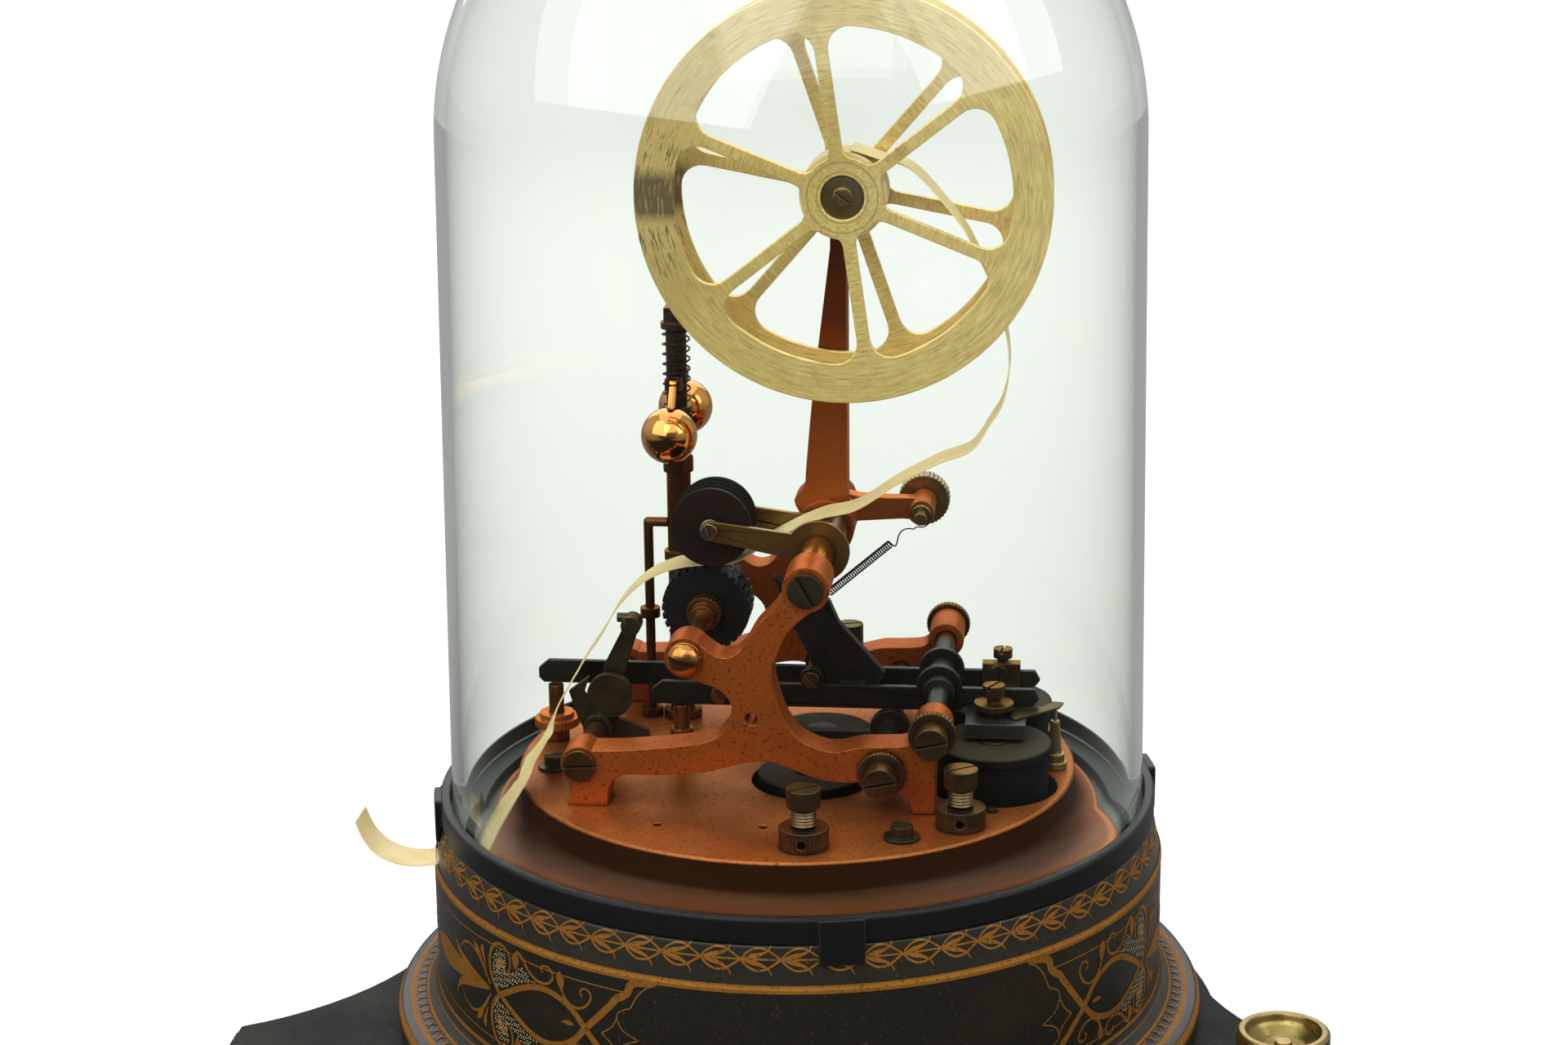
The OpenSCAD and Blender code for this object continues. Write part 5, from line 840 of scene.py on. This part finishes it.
def panels():
    """Strokes and dots of the panels' ornament."""
    parts, dots = [], []
    for turn, mirror, mid in PANELS:
        for low in (False, True):
            place = Quadrant(turn, mirror, low, mid)
            parts += [stroke(p, w, 4, place) for p, w in QUARTER]
            dots += [place(p) for p in dot_places()]
        parts += [stroke(p, w, 5, Quadrant(turn, mirror, False, mid)) for p, w in MIDDLE]
    return parts, dots


def wreath():
    """Chain of leaves on the drum's shoulder."""
    parts = []
    step = 360 / LINK_COUNT
    for k in range(LINK_COUNT):
        a0 = LINK_START + 360 * k / LINK_COUNT
        parts += [stroke([(a0 + u * step, LINK_Z + h) for u, h in p], w, 3) for p, w in LINK]
    return parts


def bands():
    """Plain lines round the drum, its cove and its foot."""
    parts = [ring_strip(r0 + LIFT, z0, r1 + LIFT, z1) for (r0, z0), (r1, z1) in zip(BAND, BAND[1:])]
    for t0, t1 in COVE_LINES:
        (r0, z0), (r1, z1) = cove_point(t0), cove_point(t1)
        parts.append(ring_strip(r0 + 0.02, z0 + LIFT, r1 + 0.05, z1 + LIFT))
    parts += [ring_strip(*a, *b) for a, b in zip(FOOT_LINE, FOOT_LINE[1:])]
    return parts


def lattice():
    """Short crossed strokes round the cove."""
    parts = []
    (r0, z0), (r1, z1) = (cove_point(t) for t in LATTICE_ENDS)
    h = math.radians(LATTICE_HALF)
    for k in range(LATTICE_COUNT):
        a = 360 * k / LATTICE_COUNT
        for lean in (0.0, 1.0):
            c0, c1 = math.radians(a + lean), math.radians(a + LATTICE_REACH - lean)
            corners = [(r0, c0 - h, z0), (r0, c0 + h, z0), (r1, c1 + h, z1), (r1, c1 - h, z1)]
            points = [(r * math.cos(c), r * math.sin(c), z + LATTICE_LIFT) for r, c, z in corners]
            parts.append((points, [(0, 1, 2, 3)]))
    return parts


def gilding():
    parts, dots = panels()
    parts += wreath() + bands() + lattice()
    piece("drum_gilding", *merged(*parts), "gilt", smooth=False)
    verts, faces = [], []
    for phi, z in dots:
        base = len(verts)
        for k in range(DOT_SIDES):
            c = TAU * k / DOT_SIDES
            verts.append(on_drum(phi + DOT_R * math.cos(c) / ARC_MM, z + DOT_R * math.sin(c), LIFT + 0.02))
        faces.append(tuple(range(base, base + DOT_SIDES)))
    piece("drum_dots", verts, faces, "dots", smooth=False)


gilding()


# Domed slotted head of the type shaft's bearing screw

HEAD_COLS = 10
HEAD_ROWS = 25


def slotted_dome(x, z, y, radius, crown, slot, deep, turn):
    """A domed round head facing the front, cut by a slot; columns of points run along the slot."""
    half = slot / 2
    bends = [math.cos(math.radians(90 * i / HEAD_COLS)) for i in range(HEAD_COLS + 1)]
    left = [-radius + (radius - half) * (1 - bend) for bend in bends]
    cols = [(u, False) for u in left] + [(-half, True), (0.0, True), (half, True)]
    cols += [(-u, False) for u in reversed(left)]
    n, verts, faces = HEAD_ROWS, [], []
    c, s = math.cos(math.radians(turn)), math.sin(math.radians(turn))
    for u, low in cols:
        reach = math.sqrt(max(radius * radius - u * u, 0.0))
        for k in range(n):
            v = -reach * math.cos(math.pi * k / (n - 1))
            rise = crown * math.sqrt(max(1 - (u * u + v * v) / (radius * radius), 0.0))
            if low:
                rise = min(rise, crown - deep)
            verts.append((x + v * c - u * s, y - rise, z + v * s + u * c))
    for i in range(len(cols) - 1):
        for k in range(n - 1):
            faces.append((i * n + k, i * n + k + 1, (i + 1) * n + k + 1, (i + 1) * n + k))
    return verts, faces


HEAD = slotted_dome(x=-26.6, z=151.2, y=-45.6, radius=4.7, crown=3.0, slot=1.3, deep=1.8, turn=-15)
piece("bearing_dome", *HEAD, "polished", slot="lacquered_bronze", angle=40)


# Threads on the necks of the binding screws

THREAD_Z = (112.8, 118.2)
THREAD_R = 3.2
THREAD_PITCH = 0.9
THREAD_CREST = 0.32
BINDINGS = {"front": ((8.7, -69.3, 0), "binding_a"), "side": ((50.4, -51.1, 0), "binding_b")}


def thread_rings(side, at, body):
    low, high = THREAD_Z
    profile = [(THREAD_R - 0.5, low)]
    for i in range(int((high - low) / THREAD_PITCH)):
        z = low + i * THREAD_PITCH
        profile += [(THREAD_R + 0.03, z), (THREAD_R + THREAD_CREST, z + THREAD_PITCH / 2)]
    profile += [(THREAD_R + 0.03, high), (THREAD_R - 0.5, high)]
    lathe("binding_thread_" + side, profile, "bronze", 48, at, "z", 60, body=body, slot="lacquered_bronze")


for neck, (neck_at, neck_body) in BINDINGS.items():
    thread_rings(neck, neck_at, neck_body)


# Felt in three turns round the ink roller

FELT_AT = (-24.0, -1.5, 177.2)
FELT_START = 0.25
FELT_BANDS = 3
FELT_BAND_W = 3.5
FELT_BORE = 7.0
FELT_SECTION = [(11.5, 0), (11.9, 0.5), (12.0, 1.75), (11.9, 3.0), (11.5, FELT_BAND_W)]


def felt_turns():
    profile = [(FELT_BORE, FELT_START)]
    for band in range(FELT_BANDS):
        y0 = FELT_START + band * FELT_BAND_W
        profile += [(r, y0 + y) for r, y in FELT_SECTION]
    profile.append((FELT_BORE, FELT_START + FELT_BANDS * FELT_BAND_W))
    lathe("felt_turns", profile, "felt", 96, FELT_AT, "y", 50, body="ink_roller", slot="felt",
          replaces=("ink_roller_felt",))


felt_turns()


# Springs

GOVERNOR_COIL = ((-38.5, 34, 204.9), (-38.5, 34, 227.5))
GOVERNOR_TURNS = 7.5
GOVERNOR_R = 4.0
GOVERNOR_WIRE = 0.3
PULL_LOW = (9.8, 0.7, 157.2)
PULL_TOP = (26.2, 20.9, 166.3)
PULL_R = 1.05
PULL_TURNS = 32
PULL_WIRE = 0.22
EYE_R = 0.98
HOOK_R = 2.9


def helix(foot, top, radius, turns, per_turn):
    """Points of a wound wire between two points."""
    a, b = Vector(foot), Vector(top)
    axis = (b - a).normalized()
    side = axis.cross(Vector((0, 1, 0)))
    side = side.normalized() if side.length > 0.1 else Vector((1, 0, 0))
    other = axis.cross(side)
    steps = int(turns * per_turn)
    out = []
    for i in range(steps + 1):
        w = TAU * i / per_turn
        out.append(a.lerp(b, i / steps) + side * (radius * math.cos(w)) + other * (radius * math.sin(w)))
    return out


def governor_spring():
    path = helix(*GOVERNOR_COIL, GOVERNOR_R, GOVERNOR_TURNS, 28)
    piece("governor_coil", *tube_mesh(path, GOVERNOR_WIRE, 8), "wire", body="governor", slot="spring_steel",
          replaces=("governor_spring",))


governor_spring()


def pull_spring():
    """A close wound spring with an eye on the crank's pin and a long wavy end hooked on the knob's tip."""
    eye = []
    for d in range(60, 421, 20):
        a = math.radians(d)
        far = 0.5 + 0.5 * math.cos(a - math.radians(56))
        eye.append((7.6 + 0.75 * far + EYE_R * math.cos(a), -0.3 + 0.09 * a,
                    154.0 + 1.1 * far + EYE_R * math.sin(a)))
    wound = helix(PULL_LOW, PULL_TOP, PULL_R, PULL_TURNS, 18)
    free = [tuple(wound[-1]), (27.6, 21.2, 165.6), (28.3, 21.6, 166.9), (28.7, 21.9, 168.6),
            (29.8, 22.0, 170.2), (31.5, 22.1, 170.8), (33.2, 22.1, 170.6)]
    hook = [(35.2 + HOOK_R * math.cos(a), 22.1, 174.2 + HOOK_R * math.sin(a))
            for a in (math.radians(d) for d in range(-110, 150, 20))]
    path = eye + [(9.2, 0.45, 156.5)] + [tuple(p) for p in wound] + through(free, 6)[1:-1] + hook
    piece("pull_coil", *tube_mesh(path, PULL_WIRE, 6), "wire", slot="spring_steel",
          replaces=("tension_spring",))


pull_spring()


# Paper tape

ROUTE = [
    (16.5, 8, 286.4, 0), (24.3, 8, 283.9, 0), (34, 8, 280.4, 0), (45.6, 8, 267.8, 0), (51.4, 8, 258.5, 0),
    (58.5, 8, 242.3, 0), (61.3, 8, 227.3, 0), (59.9, 8, 215.3, 0), (55.8, 8, 207.6, 0),
    (50.6, 8, 200.1, 0), (41.3, 8, 196.2, 0), (29.5, 8, 189.8, 0), (17.6, 8, 182, 0), (7.2, 8, 179.2, 0),
    (-3.8, 8, 174, 0), (-15.3, 8, 166.8, 0), (-19.8, 8, 165.1, 0), (-25.8, 8, 164.75, 0),
    (-36, 8, 163.1, 0), (-45.2, 8, 158.7, 0), (-52.7, 8, 151, 0), (-57.6, 6.8, 142.8, 0),
    (-62.4, 5, 135.8, 0), (-65.6, 2.6, 130.4, 0), (-68.2, -1.8, 125.9, 0), (-70.2, -9, 121.9, 1),
    (-71.8, -18, 117.9, 4), (-73, -25, 115.6, 7), (-74.1, -30.2, 113.2, 9), (-75.2, -33.8, 110.5, 12),
    (-77, -36, 107.4, 14), (-79.2, -36.5, 103.7, 17), (-81.4, -36, 99.9, 20), (-84, -35, 94.4, 22.6),
    (-84.4, -35.1, 86.6, 22.6), (-86, -33.2, 83.2, 20), (-89, -28.6, 81.4, 12), (-93.6, -24.6, 81.2, 2),
    (-98.4, -24, 81.1, 0), (-103.6, -24, 81.1, 0), (-109, -24, 80.4, 0), (-115, -24, 81.1, 0),
    (-120.3, -24, 83.5, 0), (-124, -24, 87.8, 0), (-126.4, -24, 93.6, 0),
]


def ribbon_mesh(route, width, thick, steps):
    pts = through(route, steps)
    verts, faces = [], []
    for i, p in enumerate(pts):
        here = Vector(p[:3])
        d = (Vector(pts[min(i + 1, len(pts) - 1)][:3]) - Vector(pts[max(i - 1, 0)][:3])).normalized()
        turn = math.radians(p[3])
        across = Vector((-math.sin(turn), math.cos(turn), 0))
        across = (across - d * across.dot(d)).normalized()
        up = d.cross(across)
        for u, w in ((-0.5, -0.5), (0.5, -0.5), (0.5, 0.5), (-0.5, 0.5)):
            verts.append(tuple(here + across * (width * u) + up * (thick * w)))
    for i in range(len(pts) - 1):
        for k in range(4):
            m = (k + 1) % 4
            faces.append((i * 4 + k, i * 4 + m, (i + 1) * 4 + m, (i + 1) * 4 + k))
    faces.append((3, 2, 1, 0))
    last = (len(pts) - 1) * 4
    faces.append((last, last + 1, last + 2, last + 3))
    return verts, faces


piece("tape", *ribbon_mesh(ROUTE, TAPE_W, TAPE_T, TAPE_STEPS), "paper", slot="paper", angle=50,
      replaces=("paper_tape",))


# Stage, light and camera; a glow is a distance from and to in metres, then a strength from and to

NEAR_GLOW = (0.35, 1.1, 0.80, 0.90)
FAR_GLOW = (1.1, 2.6, 0.0, 0.10)
FLOOR_HALF = 6.0
FLOOR_DROP = 0.0005
FLOOR_GREY = 0.24
BOUNCE_GREY = 0.6
GLOSS_BASE = 0.03
FLOOR_GLOSS = 0.35
WORLD_GLOSS = {"up": 0.50, "back": 0.22, "side": 0.45}
WORLD_GLOW = 0.28
SENSOR = 36.0
LENS = 70.316
CAMERA_AT = (0.08580385, -0.84565774, 0.4238977)
CAMERA_RIGHT = (0.9947662, 0.10169607, -0.00990543)
CAMERA_UP = (-0.01877619, 0.27723069, 0.9606199)
CAMERA_AHEAD = (-0.10043736, 0.95540622, -0.27768919)
LAMPS = {
    "key": ((-0.95, -1.25, 1.5), (0, 0, 0.2), (2.6, 2.0), 40),
    "front": ((0.35, -1.55, 1.75), (0, 0, 0.15), (2.0, 1.4), 14),
    "fill": ((1.35, -0.55, 1.15), (0, 0, 0.2), (1.2, 1.0), 11),
    "top": ((0, 0.25, 1.7), (0, 0, 0.2), (1.8, 1.8), 15),
    "rear": ((-0.2, 1.35, 0.95), (0, 0, 0.2), (1.8, 1.2), 12),
}


def floor():
    h = FLOOR_HALF
    mesh = bpy.data.meshes.new("floor")
    mesh.from_pydata([(-h, -h, 0), (h, -h, 0), (h, h, 0), (-h, h, 0)], [], [(0, 1, 2, 3)])
    mat, t, at = surface("pale_floor")
    far = add(t, "ShaderNodeVectorMath", operation="LENGTH")
    t.links.new(at, far.inputs[0])
    xyz = add(t, "ShaderNodeSeparateXYZ", {"Vector": at})
    beside = remap(t, maths(t, "ABSOLUTE", xyz.outputs["X"]), 0.7, 1.4)
    behind = remap(t, xyz.outputs["Y"], -0.1, 0.3)
    open_side = maths(t, "MAXIMUM", beside, behind)
    path = add(t, "ShaderNodeLightPath")
    seen = maths(t, "MAXIMUM", path.outputs["Is Camera Ray"], path.outputs["Is Transmission Ray"])
    seen = maths(t, "MULTIPLY", seen, maths(t, "LESS_THAN", path.outputs["Glossy Depth"], 0.5))
    plain = add(t, "ShaderNodeBsdfDiffuse", {"Color": rgba((FLOOR_GREY,) * 3)})
    near = remap(t, far.outputs["Value"], *NEAR_GLOW)
    away = remap(t, far.outputs["Value"], *FAR_GLOW)
    glow = add(t, "ShaderNodeEmission", {"Color": (1, 1, 1, 1), "Strength": maths(t, "ADD", near, away)})
    pale = add(t, "ShaderNodeAddShader", {0: plain.outputs[0], 1: glow.outputs[0]})
    mirrored = add(t, "ShaderNodeEmission", {
        "Color": (1, 1, 1, 1), "Strength": maths(t, "MULTIPLY_ADD", open_side, FLOOR_GLOSS, GLOSS_BASE)})
    bounce = add(t, "ShaderNodeBsdfDiffuse", {"Color": rgba((BOUNCE_GREY,) * 3)})
    lit = add(t, "ShaderNodeMixShader", {
        0: path.outputs["Is Diffuse Ray"], 1: mirrored.outputs[0], 2: bounce.outputs[0]})
    both = add(t, "ShaderNodeMixShader", {0: seen, 1: lit.outputs[0], 2: pale.outputs[0]})
    add(t, "ShaderNodeOutputMaterial", {"Surface": both.outputs[0]})
    mesh.materials.append(mat)
    obj = bpy.data.objects.new("floor", mesh)
    scene.collection.objects.link(obj)
    obj.location = (0, 0, -FLOOR_DROP)


def world():
    w = bpy.data.worlds.new("studio")
    scene.world = w
    w.use_nodes = True
    t = w.node_tree
    t.nodes.clear()
    path = add(t, "ShaderNodeLightPath")
    way = add(t, "ShaderNodeTexCoord").outputs["Generated"]
    xyz = add(t, "ShaderNodeSeparateXYZ", {"Vector": way})
    up = remap(t, xyz.outputs["Z"], 0.0, 0.75)
    back = remap(t, xyz.outputs["Y"], -0.3, 0.7)
    side = maths(t, "ABSOLUTE", xyz.outputs["X"])
    glow = maths(t, "MULTIPLY_ADD", up, WORLD_GLOSS["up"], GLOSS_BASE)
    glow = maths(t, "MULTIPLY_ADD", back, WORLD_GLOSS["back"], glow)
    glow = maths(t, "MULTIPLY_ADD", remap(t, side, 0.4, 0.85), WORLD_GLOSS["side"], glow)
    soft = add(t, "ShaderNodeCombineColor", {"Red": glow, "Green": glow, "Blue": glow})
    seen = maths(t, "MAXIMUM", path.outputs["Is Camera Ray"], path.outputs["Is Transmission Ray"])
    mirrored = add(t, "ShaderNodeBackground", {"Color": soft.outputs[0], "Strength": 1.0})
    plain = add(t, "ShaderNodeBackground", {"Color": (1, 1, 1, 1), "Strength": WORLD_GLOW})
    white = add(t, "ShaderNodeBackground", {"Color": (1, 1, 1, 1), "Strength": 1.0})
    first = add(t, "ShaderNodeMixShader", {
        0: path.outputs["Is Glossy Ray"], 1: plain.outputs[0], 2: mirrored.outputs[0]})
    deep = maths(t, "GREATER_THAN", path.outputs["Glossy Depth"], 0.5)
    clean = maths(t, "MULTIPLY", seen, maths(t, "SUBTRACT", 1.0, deep))
    both = add(t, "ShaderNodeMixShader", {0: clean, 1: first.outputs[0], 2: white.outputs[0]})
    add(t, "ShaderNodeOutputWorld", {"Surface": both.outputs[0]})


def lamp(name, at, aim, size, power):
    data = bpy.data.lights.new(name, "AREA")
    data.shape = "RECTANGLE"
    data.size, data.size_y = size
    data.energy = power
    obj = bpy.data.objects.new(name, data)
    scene.collection.objects.link(obj)
    obj.location = at
    obj.rotation_euler = (Vector(aim) - Vector(at)).to_track_quat("-Z", "Y").to_euler()


def camera():
    data = bpy.data.cameras.new("photo_view")
    data.sensor_width = SENSOR
    data.lens = LENS
    data.clip_start = 0.05
    data.clip_end = 50.0
    obj = bpy.data.objects.new("photo_view", data)
    scene.collection.objects.link(obj)
    axes = (Vector(CAMERA_RIGHT), Vector(CAMERA_UP), -Vector(CAMERA_AHEAD))
    turn = Matrix(axes).transposed().to_4x4()
    obj.matrix_world = Matrix.Translation(CAMERA_AT) @ turn
    scene.camera = obj


floor()
world()
for lamp_name, setting in LAMPS.items():
    lamp(lamp_name, *setting)
camera()

scene.view_settings.view_transform = "Standard"
